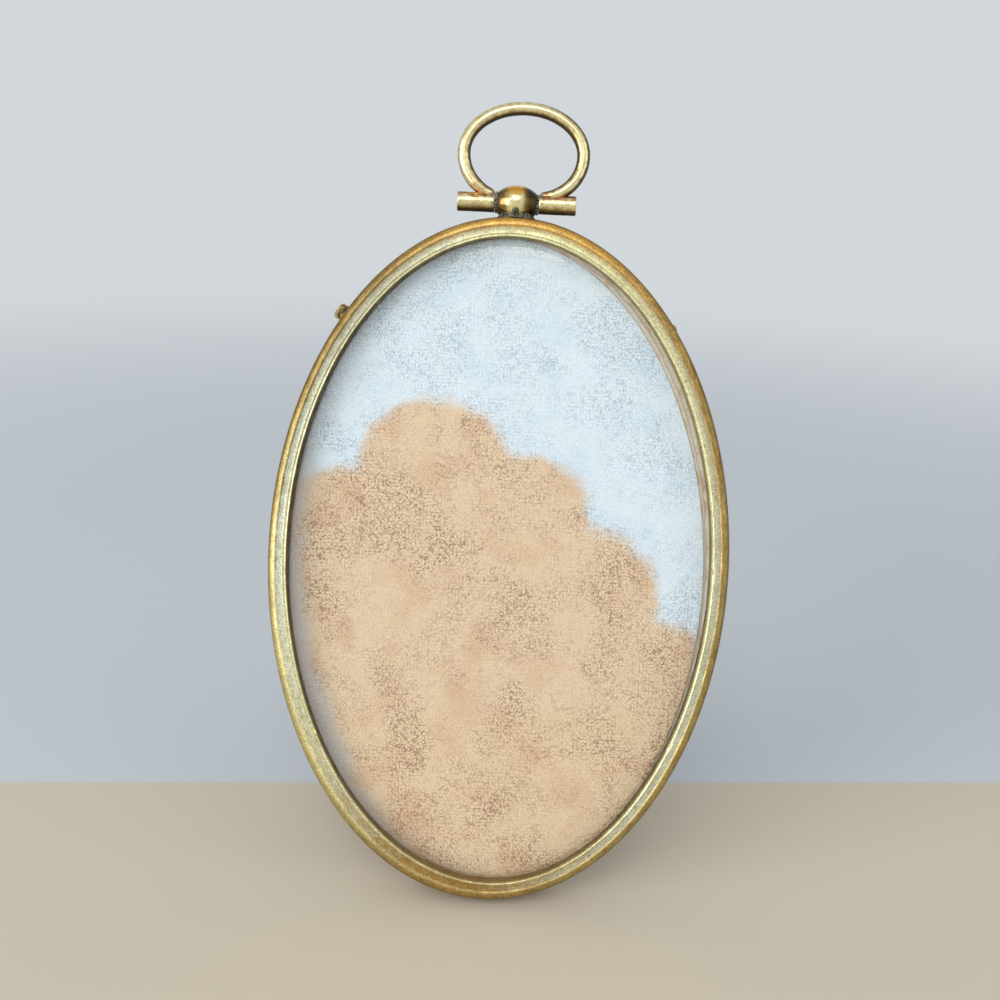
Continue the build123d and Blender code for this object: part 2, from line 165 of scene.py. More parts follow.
class FrameColours(bpy.types.PropertyGroup):
    """Colours of the finishes, as linear values."""

    # Several colours also carry painted light besides the brass's own tarnish: the cream, yellow, ridge and
    # cool brass paint highlights and reflections, the orange and golden ones paint reflections, and the grey,
    # brown and dark films paint shade
    pale_brass: shade("Pale brass", "Rubbed brass on the rim's face", "EAECCF")
    golden_brass: shade("Golden brass", "Warmer brass low on the rim", "BF9B5A")
    olive_brass: shade("Olive brass", "Dull greenish gold of the rounded edge", "C4B074")
    yellow_brass: shade("Yellow brass", "Rubbed yellow brass next to the shoulder", "F7EBA6")
    cool_brass: shade("Cool brass", "Greenish white gleams in the grain", "F8FFF0")
    grey_film: shade("Grey film", "Dull grey film on the face at the upper left", "BAB79F")
    ridge_brass: shade("Ridge brass", "Rubbed bright brass of the thin ridge", "FCF8CE")
    beige_film: shade("Beige film", "Pinkish film along the shoulder on the right", "C3AC84")
    orange_tarnish: shade("Orange tarnish", "Orange film over the top of the rim", "E9B35A")
    ball_orange: shade("Ball orange", "Bright orange film over the top of the ball", "FFBC52")
    brown_tarnish: shade("Brown tarnish", "Dull brown film on the outer edge", "85693A")
    dark_tarnish: shade("Dark tarnish", "Dark brown film in the hollows", "463B22")
    cream_brass: shade("Cream brass", "Rubbed light brass of the wire, tubes and ball", "FFEEB4")
    copper_stain: shade("Copper stain", "Reddish stain on the knuckles", "B06C46")
    verdigris: shade("Verdigris", "Green corrosion in the gaps", "5A6652")
    solder_grey: shade("Solder", "Old soft solder", "75715C")
    sheet_brass: shade("Sheet brass", "Tarnished sheet brass of bracket and strut", "BFA166")
    print_blue: shade("Print ground", "Pale blue ground of the print", "E6F3FD")
    print_tan: shade("Print tan", "Warm tan of the printed clouds", "E8CBA6")
    print_fleck: shade("Print flecks", "Brown flecks over the tan", "94694C")
    # The lilac grey stands partly for the print's own vignette and partly for the rim's shadow, painted on
    print_margin: shade("Print margin", "Faded lilac grey along the print's left edge", "DCD6D3")
    card_tan: shade("Card", "Pale buff card behind the print", "F3EBDE")
    card_stain: shade("Card stain", "Brown line where damp crept under the print", "8A785A")
    board_brown: shade("Board", "Dark stained wood", "4A3020")
    floor_warm: shade("Floor", "Pale warm floor near the frame", "D9CDB8")
    backdrop_grey: shade("Backdrop", "Pale grey behind the frame", "D2D7DB")


def add(tree, kind, inputs=(), out=None, stops=(), **settings):
    """Adds a shader node and gives its output of that name, or else its first one in use.

    inputs holds values, colours and other nodes' outputs, in the order of the sockets or by name or number.
    """
    made = tree.nodes.new("ShaderNode" + kind)
    for name, value in settings.items():
        setattr(made, name, value)
    for key, value in inputs.items() if isinstance(inputs, dict) else enumerate(inputs):
        socket = made.inputs[key]
        if isinstance(value, bpy.types.NodeSocket):
            tree.links.new(value, socket)
        else:
            socket.default_value = (*value, 1) if socket.type == "RGBA" else value
    if stops:
        ramp = made.color_ramp.elements
        ramp.remove(ramp[1])
        ramp[0].position, ramp[0].color = stops[0][0], (*stops[0][1], 1)
        for place, colour in stops[1:]:
            ramp.new(place).color = (*colour, 1)
    if out or not made.outputs:
        return made.outputs[out] if out else None
    return next(output for output in made.outputs if output.enabled)


def new_material(name):
    made = bpy.data.materials.new(name)
    made.use_nodes = True
    made.node_tree.nodes.clear()
    return made, made.node_tree


def per(size):
    """Scale of a pattern whose features are this far apart."""
    return 1 / size


def bumpy_surface(tree, colour, height, depth, strength, shine):
    """Ends a material: an opaque surface of this colour with bumps this deep; shine is sockets' values."""
    bump = add(tree, "Bump", {"Height": height, "Distance": depth, "Strength": strength})
    surface = add(tree, "BsdfPrincipled", {"Base Color": colour, "Normal": bump, **shine})
    add(tree, "OutputMaterial", {"Surface": surface})


def aged_brass(name, base=None, rough=0.34, film=0.22, grain=0.32):
    """Cast or drawn brass, once lacquered: satin, a little pitted, with a thin uneven film of tarnish.

    The eye sees a warm mirror blurred by fine grain. A piece given no base colour is painted: its mesh carries
    its films of tarnish, rubbing and painted light and shade as a colour, and its crusts as a share called
    grime.
    """
    sizes, colours = bpy.context.scene.oval_frame_sizes, bpy.context.scene.oval_frame_colours
    made, tree = new_material(name)
    place = add(tree, "TexCoord", out="Object")
    # The real pits are finer than the render shows, so they are drawn as wide as they need to be
    pits, clouds, pocks = (
        add(tree, "TexNoise", {"Vector": place, "Scale": per(size), "Detail": detail, "Roughness": ragged})
        for size, detail, ragged in ((sizes.pit_size, 4.0, 0.65), (3.5 * MM, 5.0, 0.6), (0.7 * MM, 3.0, 0.5))
    )
    mottle = add(tree, "MapRange", (clouds, 0.3, 0.7, 1 - film, 1 + film / 2))
    speckle = add(tree, "MapRange", (pits, 0.34, 0.66, 1 - 1.3 * grain, 1 + 0.7 * grain))
    brightness = add(tree, "Math", (mottle, speckle), operation="MULTIPLY")
    roughness = add(tree, "MapRange", (clouds, 0.3, 0.7, rough + 0.1, rough - 0.06))
    metal = 1.0
    if base is None:
        base = add(tree, "Attribute", out="Color", attribute_name="patina")
        grime = add(tree, "Attribute", out="Fac", attribute_name="grime")
        roughness = add(tree, "Math", (grime, 0.45, roughness), operation="MULTIPLY_ADD")
        metal = add(tree, "Math", (grime, -0.75, 1.0), operation="MULTIPLY_ADD")
    mottled = add(tree, "VectorMath", {0: base, "Scale": brightness}, operation="SCALE")
    dark_pock = add(tree, "MapRange", (pocks, 0.66, 0.74, 0.0, 0.5))
    pocked = add(tree, "Mix", {0: dark_pock, 6: mottled, 7: colours.dark_tarnish}, data_type="RGBA")
    height = add(tree, "Math", (pocks, 0.8, pits), operation="MULTIPLY_ADD")
    bumpy_surface(tree, pocked, height, 0.012 * MM, 1.0, {"Roughness": roughness, "Metallic": metal})
    return made


def surface_mesh(name, rings, material, paint=None, sharp=60, closed=False):
    """A mesh from rings of points in the frame's own axes, closed in a loop or else capped at both ends.

    paint holds a value or colour for each point, and edges bent by more degrees than sharp stay hard.
    """
    rows, columns = rings.shape[:2]
    points = np.array(CENTRE) + rings.reshape(-1, 3) @ np.array([ACROSS, UP, OUT])
    faces = []
    for row in range(rows if closed else rows - 1):
        here, after = row * columns, (row + 1) % rows * columns
        for column in range(columns):
            beside = (column + 1) % columns
            faces.append((here + column, here + beside, after + beside, after + column))
    if not closed:
        faces.append(tuple(range(columns)))
        faces.append(tuple((rows - 1) * columns + column for column in reversed(range(columns))))
    mesh = bpy.data.meshes.new(name)
    mesh.from_pydata([tuple(point) for point in points], [], faces)
    for key, values in (paint or {}).items():
        kind, field = "FLOAT", "value"
        if values.ndim == 3:
            kind, field = "FLOAT_COLOR", "color"
            values = np.concatenate([values, np.ones((*values.shape[:2], 1))], 2)
        layer = mesh.attributes.new(key, kind, "POINT")
        layer.data.foreach_set(field, values.ravel().astype(np.float32))
    shape = bmesh.new()
    shape.from_mesh(mesh)
    bmesh.ops.remove_doubles(shape, verts=shape.verts, dist=0.001 * MM)
    bmesh.ops.recalc_face_normals(shape, faces=shape.faces)
    shape.to_mesh(mesh)
    shape.free()
    mesh.shade_smooth()
    mesh.set_sharp_from_angle(angle=math.radians(sharp))
    mesh.materials.append(material)
    made = bpy.data.objects.new(name, mesh)
    bpy.context.scene.collection.objects.link(made)
    return made


def settle(piece, body, slot, *nodes):
    """The piece moves with its body and stands for the CAD nodes named; slot, the record's name for its
    finish, is not used.
    """
    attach(piece, body)
    if nodes:
        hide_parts(*nodes)


def refinish(name, material):
    """A CAD node whose shape is right gets a better finish."""
    materials = frame["nodes"][name].data.materials
    materials.clear()
    materials.append(material)


def lobe(angles, middle, width):
    """A smooth rise to 1 at one place round the oval; all in degrees."""
    away = (angles - middle + 180) % 360 - 180
    return np.exp(-((away / width) ** 2))


def films(base, *layers):
    """A colour at each point: thin films laid over a base colour, each as its colour and its share."""
    colour = np.asarray(base, float)
    for film, share in layers:
        share = np.clip(share, 0, 1)[..., None]
        colour = colour * (1 - share) + np.asarray(film, float) * share
    return colour


def around(steps):
    """Angles spaced evenly round a closed ring."""
    return np.linspace(0, 2 * math.pi, steps, endpoint=False)


def wander(angles, waves, seed):
    """A smooth closed wander of about unit size, for angles in radians."""
    draw = np.random.default_rng(seed)
    total = np.zeros_like(angles)
    for wave in waves:
        total += np.cos(wave * angles + draw.uniform(0, 2 * math.pi)) * draw.uniform(0.5, 1)
    return total / len(waves)


def flecks(points, size, seed):
    """Noise from -1 to 1 with features of this size, at each point."""
    shift = Vector((seed * 7.3, seed * 3.1, seed * 5.7))
    values = [noise.noise(Vector(point) + shift) for point in points.reshape(-1, 3) / size]
    return np.array(values).reshape(points.shape[:-1])


def arc_through(first, middle, last, count):
    """Points of the circular arc through three points."""
    a, b, c = (complex(*point) for point in (first, middle, last))
    ratio = (c - a) / (b - a)
    centre = a - (a - b) * (ratio - abs(ratio) ** 2) / 2j / ratio.imag
    turn = np.angle((c - centre) / (a - centre))
    points = centre + (a - centre) * np.exp(1j * np.linspace(0, turn, count))
    return list(zip(points.real, points.imag))


# Zones of the rim's section, in order from the outer edge inward
SIDE, SHOULDER, FACE, RIDGE, WALL, HIDDEN = range(6)


def rim_section():
    """The moulding's points as (inward, height) and the zone that each one belongs to."""
    face_start = (ROUND_IN + SHOULDER_IN, RIM_DEPTH - SHOULDER_DROP - SHOULDER_BACK)
    face_middle = ((face_start[0] + RIDGE_START) / 2, face_start[1] - FACE_DISH)
    face_end = (RIDGE_START, RIM_DEPTH - RIDGE_HEIGHT)
    ridge_end = (RIDGE_END, RIM_DEPTH - RIDGE_INNER_DROP)
    underside = face_start[1] - FACE_THICKNESS
    points = [(0, height, SIDE) for height in np.linspace(0, RIM_DEPTH - ROUND_BACK, 10, endpoint=False)]
    for turn in np.linspace(0, math.pi / 2, 16):
        rise = (ROUND_BACK - SHOULDER_DROP) * math.sin(turn)
        points.append((ROUND_IN * (1 - math.cos(turn)), RIM_DEPTH - ROUND_BACK + rise, SIDE))
    points.append((*face_start, SHOULDER))
    points += [(x, y, FACE) for x, y in arc_through(face_start, face_middle, face_end, 14)[1:-1]]
    points += [(x, y, RIDGE) for x, y in arc_through(face_end, (RIDGE_PEAK, RIM_DEPTH), ridge_end, 16)]
    for share in np.linspace(0, 1, 8)[1:]:
        x = RIDGE_END + (LIP_IN - RIDGE_END) * share
        points.append((x, ridge_end[1] + (LIP_LEVEL - ridge_end[1]) * share, WALL))
    inside = (
        (LIP_IN - LIP_THICKNESS, LIP_LEVEL), (RIDGE_START - LIP_THICKNESS / 2, underside),
        (RIM_WALL + INNER_CORNER, underside), (RIM_WALL, underside - INNER_CORNER), (RIM_WALL, 0),
    )
    return np.array(points + [(x, y, HIDDEN) for x, y in inside])


def on_oval(turns, half_width, half_height):
    """Points of an oval and the unit directions inward from it."""
    points = np.stack([half_width * np.cos(turns), half_height * np.sin(turns)], -1)
    inward = np.stack([-np.cos(turns) / half_width, -np.sin(turns) / half_height], -1)
    return points, inward / np.linalg.norm(inward, axis=-1, keepdims=True)


def rim_top(across):
    """Height of the rim's outer oval at a place across the frame."""
    return RIM_HALF_HEIGHT * np.sqrt(1 - (across / RIM_HALF_WIDTH) ** 2)


class OVALFRAME_OT_rim(bpy.types.Operator):
    """Make the moulded brass rim with its films of tarnish"""

    bl_idname = "ovalframe.rim"
    bl_label = "Rim"

    steps = 1600

    # The moulding was bent by hand, so its ridge and the foot of its wall lie further in at some places:
    # angle round the oval, and the shift inward there of the ridge and of the foot, in millimetres
    bends = (
        (10, 0.22, 0.08), (40, 0.15, 0.13), (70, 0.38, 0.30), (85, 0.36, 0.36), (110, 0.36, 0.48),
        (140, 0.10, 0.32), (170, 0.10, 0.28), (200, 0.50, 0.44), (230, 0.70, 0.52), (256, 0.73, 0.40),
        (270, 0.42, 0.29), (284, 0.26, -0.05), (310, 0.22, -0.11), (335, 0.18, -0.03), (352, 0.21, 0.06),
    )

    # Small knocks in the ridge: place round the oval and width in degrees, and depth
    dents = ((0, 0.9, 0.16 * MM), (328, 0.5, 0.2 * MM), (141, 0.6, 0.1 * MM), (212, 0.5, 0.12 * MM))

    # How far the face and ridge are rubbed down, and how far the foot of the wall clears the glass's dome
    rubbed = 0.022 * MM
    foot_level = LIP_LEVEL + 0.07 * MM

    # Grain that runs along the rim: its length and width
    streak_length, streak_width = 1.3 * MM, 0.24 * MM

    # Places of the films round the oval, as middle and width in degrees. Most of them place painted light:
    # highlights low at the left, reflections on the left, at the top and crown and at the bottom, and shade at
    # the upper left and on the right side
    bottom, top, left, right = (258, 34), (78, 36), (200, 42), (35, 45)
    upper_left, low_left, brown_left, brown_gap = (126, 32), (208, 26), (143, 34), (85, 25)
    crown, dull_ridge, golden_ridge = (88, 22), (140, 30), (272, 40)

    def execute(self, context):
        sizes, colours = context.scene.oval_frame_sizes, context.scene.oval_frame_colours
        section = rim_section()
        inward, height, zone = section[:, 0], section[:, 1], section[:, 2]
        turns = around(self.steps)
        degrees = np.degrees(turns)
        oval, normal = on_oval(turns, sizes.rim_half_width, sizes.rim_half_height)
        uneven = sizes.rim_unevenness * wander(turns, (3, 5, 7, 11, 17), 4)
        ridge, foot = ((self.hand_bent(degrees, row) + uneven)[:, None] for row in (1, 2))
        down_wall = ((inward - RIDGE_END) / (LIP_IN - RIDGE_END)).clip(0, 1)
        shift = (inward / RIDGE_START).clip(0, 1) * (ridge + (foot - ridge) * down_wall)
        shift = np.where((inward == 0) | (zone == HIDDEN), 0, shift)
        rings = np.zeros((self.steps, len(section), 3))
        rings[..., :2] = oval[:, None] + normal[:, None] * (inward + shift)[..., None]
        rings[..., 2] = height
        lumps = flecks(rings, 1.6 * MM, 1) * 0.6 + flecks(rings, 0.6 * MM, 2) * 0.4
        rings[..., 2] -= np.where((zone == FACE) | (zone == RIDGE), self.rubbed, 0) * (lumps + 0.5)
        for middle, width, depth in self.dents:
            rings[..., 2] -= lobe(degrees, middle, width)[:, None] * (zone == RIDGE) * depth
        rings[:, (zone == WALL) & (height < self.foot_level), 2] = self.foot_level
        # The grain is drawn on the strip laid out straight
        mean_radius = (sizes.rim_half_width + sizes.rim_half_height) / 2
        unrolled = np.zeros_like(rings)
        unrolled[..., 0] = (np.cos(turns) * mean_radius / self.streak_length)[:, None]
        unrolled[..., 1] = (np.sin(turns) * mean_radius / self.streak_length)[:, None]
        unrolled[..., 2] = inward / self.streak_width
        streaks = flecks(unrolled, 1.0, 5)
        paint = self.paint(colours, degrees[:, None], inward, zone, lumps, streaks)
        brass = aged_brass("satin_aged_brass", grain=0.3)
        made = surface_mesh("moulded_rim", rings, brass, paint, sharp=65, closed=True)
        settle(made, "frame", "aged_brass", "bezel_rim")
        return {"FINISHED"}

    def hand_bent(self, degrees, row):
        """The shift inward at each angle, run smoothly through the table."""
        table = np.array(self.bends)
        shift = np.interp(degrees, table[:, 0], table[:, row], period=360)
        span = len(degrees) // 36
        padded = np.concatenate([shift[-span:], shift, shift[:span]])
        return np.convolve(padded, np.ones(2 * span + 1) / (2 * span + 1), "valid") * MM

    def paint(self, colours, degrees, inward, zone, lumps, streaks):
        """Films of tarnish by place on the section and by place round the oval, with painted highlights,
        reflections and shade laid among them.
        """
        bottom, top, left, right = (
            lobe(degrees, *place) for place in (self.bottom, self.top, self.left, self.right)
        )
        upper_left, low_left = (lobe(degrees, *place) for place in (self.upper_left, self.low_left))
        brown_places = 0.6 * lobe(degrees, *self.brown_left) - 0.4 * lobe(degrees, *self.brown_gap)
        # The films end on a ragged line, so they are placed by a distance that wavers with the grain
        ragged = inward + 0.14 * MM * streaks + 0.1 * MM * lumps
        outline = np.clip(1 - ragged / (0.5 * MM), 0, 1)
        mid_band = np.clip(1 - np.abs(ragged - 0.62 * MM) / (0.5 * MM), 0, 1)
        shoulder_line = np.clip(1 - np.abs(ragged - 1.15 * MM) / (0.28 * MM), 0, 1)
        brown = 0.2 + brown_places + 0.5 * right - 0.6 * low_left
        # On the rounded side the yellow and pale films low on the left and along the shoulder are painted
        # highlights, the orange at the top and crown a painted reflection, and the golden, brown and dark
        # films at the bottom, upper left, right and outer edge painted shade; the rest is tarnish
        side = films(
            colours.olive_brass,
            (colours.orange_tarnish, 0.95 * top + 0.3 * right + 0.25 * lumps),
            (colours.golden_brass, 0.7 * bottom + 0.3 * upper_left + 0.5 * streaks),
            (colours.yellow_brass, 0.95 * low_left),
            (colours.brown_tarnish, brown + 0.5 * lumps + 0.4 * streaks),
            (colours.orange_tarnish, 0.5 * lobe(degrees, *self.crown) + 0.3 * lumps),
            (colours.brown_tarnish, mid_band * (0.5 * left + 0.35 * upper_left)),
            (colours.yellow_brass, shoulder_line * (0.1 + 0.9 * left + 0.2 * top + 0.3 * lumps)),
            (colours.ridge_brass, shoulder_line * (left - 0.3)),
            (colours.brown_tarnish, (0.85 - 0.15 * left) * outline),
        )
        face_share = np.clip((ragged - ROUND_IN) / (RIDGE_START - ROUND_IN), 0, 1)
        near_shoulder = np.clip(1 - face_share / 0.7, 0, 1)
        at_shoulder = np.clip(1 - face_share / 0.15, 0, 1)
        # On the face the cool film on the left and the pale film low on the left are painted reflections, the
        # grey film at the upper left is painted shade, and the golden film at the bottom and the orange by the
        # shoulder at the top are painted reflections
        face = films(
            colours.pale_brass,
            (colours.yellow_brass, 0.7 * top + 0.7 * streaks),
            (colours.yellow_brass, 0.7 * right * face_share),
            (colours.cool_brass, 0.7 * left - 0.6 * streaks - 0.4 * right),
            (colours.ridge_brass, 0.85 * low_left),
            (colours.grey_film, 0.75 * upper_left + 0.35 * lumps - 0.3 * low_left),
            (colours.golden_brass, 1.05 * bottom + 0.25 * lumps + 0.25 * streaks),
            (colours.beige_film, near_shoulder * (1.1 * right + 0.7 * upper_left + 0.3 * lumps)),
            (colours.orange_tarnish, near_shoulder * (0.6 * top + 0.3 * lumps)),
            (colours.olive_brass, at_shoulder * (0.5 - 0.5 * left)),
        )
        inner_slope = np.clip((inward - RIDGE_PEAK) / (0.2 * MM), 0, 1)
        # The ridge's bright film is partly a painted highlight; the grey at the upper left and the brown down
        # its inner slope are painted shade, and the golden at the bottom a painted reflection
        ridge = films(
            colours.ridge_brass,
            (colours.yellow_brass, 0.2 + 0.4 * lumps),
            (colours.grey_film, 0.5 * lobe(degrees, *self.dull_ridge)),
            (colours.golden_brass, 0.55 * lobe(degrees, *self.golden_ridge) + 0.3 * streaks),
            (colours.brown_tarnish, inner_slope * (0.4 - 0.3 * top)),
        )
        # The wall is painted dark as the shade in the recess, and painted lighter on the right, at the top and
        # at the bottom, where it is lit or mirrors the print
        wall = films(
            colours.dark_tarnish,
            (colours.olive_brass, 0.2 + 0.4 * right + 0.3 * top + 0.3 * lumps),
            (colours.golden_brass, 0.6 * bottom),
        )
        # Each zone's colour, and how much dull crust lies on it
        finishes = {
            SIDE: (side, 0.12), SHOULDER: (side, 0.15), FACE: (face, 0.0),
            RIDGE: (ridge, 0.0), WALL: (wall, 0.45), HIDDEN: (wall, 0.5),
        }
        patina, grime = np.zeros((*lumps.shape, 3)), np.zeros(lumps.shape)
        for kind, (colour, crust) in finishes.items():
            spots = zone == kind
            patina[:, spots], grime[:, spots] = colour[:, spots], crust
        return {"patina": patina, "grime": grime}


def dome_height(across, up, drop):
    """Height of the glass's outer surface, or of the inner one, which lies lower by drop."""
    radius_across = (DOME_HALF_WIDTH**2 + DOME_RISE**2) / (2 * DOME_RISE)
    radius_up = (DOME_HALF_HEIGHT**2 + DOME_RISE**2) / (2 * DOME_RISE)
    top = LIP_LEVEL + DOME_RISE
    spine = top - radius_up + np.sqrt((radius_up - drop) ** 2 - up**2)
    axis = top - radius_across
    return axis + np.sqrt((spine - axis) ** 2 - across**2)


class OVALFRAME_OT_glass(bpy.types.Operator):
    """Make the domed glass with its flat edge under the lip"""

    bl_idname = "ovalframe.glass"
    bl_label = "Glass"

    def execute(self, context):
        turns = around(240)

        def ring(half_width, half_height, level):
            return np.stack([half_width * np.cos(turns), half_height * np.sin(turns), 0 * turns + level], -1)

        def dome_ring(share, drop):
            made = ring(DOME_HALF_WIDTH * share, DOME_HALF_HEIGHT * share, 0)
            made[:, 2] = dome_height(made[:, 0], made[:, 1], drop)
            return made

        shares = np.linspace(0.002, 1, 22)
        inner = 1 - DOME_MARGIN / DOME_HALF_WIDTH
        rows = [dome_ring(share, 0) for share in shares]
        rows += [ring(INSIDE_HALF_WIDTH, INSIDE_HALF_HEIGHT, level) for level in (LIP_LEVEL, GLASS_BACK)]
        rows.append(ring(DOME_HALF_WIDTH * inner, DOME_HALF_HEIGHT * inner, GLASS_BACK))
        rows += [dome_ring(share, GLASS_THICKNESS) for share in reversed(shares * 0.97)]
        made = surface_mesh("domed_glass", np.array(rows), self.clear_glass(), sharp=30)
        settle(made, "frame", "clear_glass", "convex_glass")
        return {"FINISHED"}

    def clear_glass(self):
        """Old blown and slumped window glass: clear, very slightly grey, with a soft wander in its polish.

        The eye sees the print through it and only a faint sheen. Lamps shine through it to the print.
        """
        made, tree = new_material("slumped_clear_glass")
        place = add(tree, "TexCoord", out="Object")
        wave = add(tree, "TexNoise", {"Vector": place, "Scale": per(22 * MM), "Detail": 1.0})
        bump = add(tree, "Bump", {"Height": wave, "Distance": 0.05 * MM, "Strength": 0.6})
        tint = linear("FDFEFE")
        glass = add(tree, "BsdfPrincipled", {
            "Base Color": tint, "Roughness": 0.02, "IOR": 1.5, "Transmission Weight": 1.0, "Normal": bump,
        })
        clear = add(tree, "BsdfTransparent", {"Color": tint})
        path = add(tree, "LightPath").node.outputs
        lamp = add(tree, "Math", (path["Is Shadow Ray"], path["Is Diffuse Ray"]), operation="MAXIMUM")
        add(tree, "OutputMaterial", {"Surface": add(tree, "MixShader", (lamp, glass, clear))})
        return made


class OVALFRAME_OT_picture(bpy.types.Operator):
    """Make the print, and finish the card and the back board"""

    bl_idname = "ovalframe.picture"
    bl_label = "Picture and back"

    # Rounded cloud tops of the print, in millimetres: across and up from the oval's centre, and radius
    clouds = (
        (-29, 2, 14), (-12, 15, 14), (5, 9, 11), (-24, -18, 22), (16, -6, 13),
        (27, -20, 11), (0, -24, 30), (0, -62, 40), (-8, 0, 14), (22, -36, 18),
    )

    def execute(self, context):
        colours = context.scene.oval_frame_colours
        turns = around(240)
        degrees = np.degrees(turns)
        # The print was cut a little closer at the upper right
        cut = 1 - 0.011 * lobe(degrees, 42, 38)
        shares = np.concatenate([np.linspace(0.002, 0.8, 12), np.linspace(0.82, 1, 12), (1, 0.5, 0.002)])
        levels = np.array([GLASS_BACK] * 24 + [GLASS_BACK - PRINT_THICKNESS] * 3)
        across = PRINT_HALF_WIDTH * shares[:, None] * cut * np.cos(turns)
        up = PRINT_HALF_HEIGHT * shares[:, None] * cut * np.sin(turns)
        rows = np.stack([
            PRINT_SLIP[0] + across * math.cos(PRINT_TURN) - up * math.sin(PRINT_TURN),
            PRINT_SLIP[1] + across * math.sin(PRINT_TURN) + up * math.cos(PRINT_TURN),
            0 * across + levels[:, None],
        ], -1)
        # Share of the lilac grey near the left edge, partly the rim's shadow painted on
        faded = np.clip((shares - 0.84) / 0.16, 0, 1)[:, None] * lobe(degrees, 196, 52)
        place = {"print_across": rows[..., 0], "print_up": rows[..., 1], "faded_margin": faded}
        made = surface_mesh("picture", rows, self.printed_paper(colours), place, sharp=30)
        settle(made, "frame", "printed_paper", "picture_print")
        refinish("backing_card", self.card(colours))
        refinish("back_board", self.stained_board(colours))
        return {"FINISHED"}

    def printed_paper(self, colours):
        """Matt litho print on paper: a pale blue sky and a warm tan bank of clouds, both finely flecked."""
        made, tree = new_material("matt_printed_paper")
        across, up, faded = (
            add(tree, "Attribute", out="Fac", attribute_name=name)
            for name in ("print_across", "print_up", "faded_margin")
        )
        place = add(tree, "CombineXYZ", (across, up))
        # The clouds are circles run together, with an edge that wavers by a few millimetres
        waver = add(tree, "TexNoise", {
            "Vector": place, "Scale": per(7 * MM), "Detail": 5.0, "Roughness": 0.55,
        }, out="Color")
        waver = add(tree, "VectorMath", (waver, (0.5, 0.5, 0.5)), operation="SUBTRACT")
        pushed = add(tree, "VectorMath", (waver, (6 * MM, 6 * MM, 0), place), operation="MULTIPLY_ADD")
        nearest = None
        for x, y, radius in self.clouds:
            away = add(tree, "VectorMath", (pushed, (x * MM, y * MM, 0)), operation="DISTANCE")
            gap = add(tree, "Math", (away, radius * MM), operation="SUBTRACT")
            if nearest is not None:
                gap = add(tree, "Math", (nearest, gap, 3 * MM), operation="SMOOTH_MIN")
            nearest = gap
        soft = {"interpolation_type": "SMOOTHSTEP"}
        cloud = add(tree, "MapRange", (nearest, -1.6 * MM, 1.4 * MM, 1.0, 0.0), **soft)
        tone = add(tree, "TexNoise", {
            "Vector": place, "Scale": per(11 * MM), "Detail": 4.0, "Roughness": 0.55,
        })
        tan = add(tree, "ValToRGB", (tone,), stops=(
            (0.3, linear("E0B893")), (0.5, linear("ECD0AD")), (0.7, colours.print_tan),
        ))
        sky = add(tree, "ValToRGB", (tone,), stops=(
            (0.3, linear("D8EAF7")), (0.5, linear("E7F2FB")), (0.7, colours.print_blue),
        ))
        ground = add(tree, "Mix", {0: cloud, 6: sky, 7: tan}, data_type="RGBA")
        # The colours turn to a lilac grey along the left edge: partly the print's own vignette, partly the
        # rim's shadow painted on
        faded = add(tree, "Math", (tone, 0.8, faded), operation="MULTIPLY_ADD")
        margin = add(tree, "MapRange", (faded, 0.6, 1.1, 0.0, 0.85), **soft)
        ground = add(tree, "Mix", {0: margin, 6: ground, 7: colours.print_margin}, data_type="RGBA")
        # Fine worm-like flecks about half a millimetre apart, gathered in patches and bare at the margin
        worms = add(tree, "TexNoise", {
            "Vector": place, "Scale": per(0.62 * MM), "Detail": 1.5, "Roughness": 0.5,
        })
        fold = add(tree, "Math", (worms, 0.5), operation="SUBTRACT")
        fold = add(tree, "Math", (fold,), operation="ABSOLUTE")
        lines = add(tree, "MapRange", (fold, 0.012, 0.07, 1.0, 0.0))
        patch = add(tree, "TexNoise", {
            "Vector": place, "Scale": per(13 * MM), "Detail": 6.0, "Roughness": 0.62, "Distortion": 0.6,
        })
        patch = add(tree, "MapRange", (patch, 0.42, 0.6, 0.22, 0.9))
        bare = add(tree, "Math", (margin, -0.85, 1.0), operation="MULTIPLY_ADD")
        fleck = add(tree, "Math", (lines, patch), operation="MULTIPLY")
        fleck = add(tree, "Math", (fleck, bare), operation="MULTIPLY")
        ink = add(tree, "Mix", {0: cloud, 6: linear("A9BAC8"), 7: colours.print_fleck}, data_type="RGBA")
        inked = add(tree, "Mix", {0: fleck, 6: ground, 7: ink}, data_type="RGBA")
        # Paper's own fibres are finer than the render shows, so they are drawn 0.3 mm apart
        fibres = add(tree, "TexNoise", {"Vector": place, "Scale": per(0.3 * MM), "Detail": 2.0})
        brightness = add(tree, "MapRange", (fibres, 0.3, 0.7, 0.93, 1.04))
        final = add(tree, "VectorMath", {0: inked, "Scale": brightness}, operation="SCALE")
        bumpy_surface(tree, final, fibres, 0.01 * MM, 0.5, {"Roughness": 0.75, "Specular IOR Level": 0.25})
        return made

    def card(self, colours):
        """Plain pulp card, buff with age: matt, with short fibres and a brown tide line round the print."""
        made, tree = new_material("buff_pulp_card")
        place = add(tree, "TexCoord", out="Object")
        # The fibres are drawn half a millimetre apart, coarser than they are, so that they show
        fibres, spots = (
            add(tree, "TexNoise", {"Vector": place, "Scale": per(size), "Detail": 4.0, "Roughness": ragged})
            for size, ragged in ((0.5 * MM, 0.7), (4 * MM, 0.6))
        )
        brightness = add(tree, "MapRange", (fibres, 0.3, 0.7, 0.86, 1.06))
        buff = add(tree, "ValToRGB", (spots,), stops=(
            (0.36, linear("E2C8A6")), (0.47, linear("F1E5D5")), (0.58, colours.card_tan),
        ))
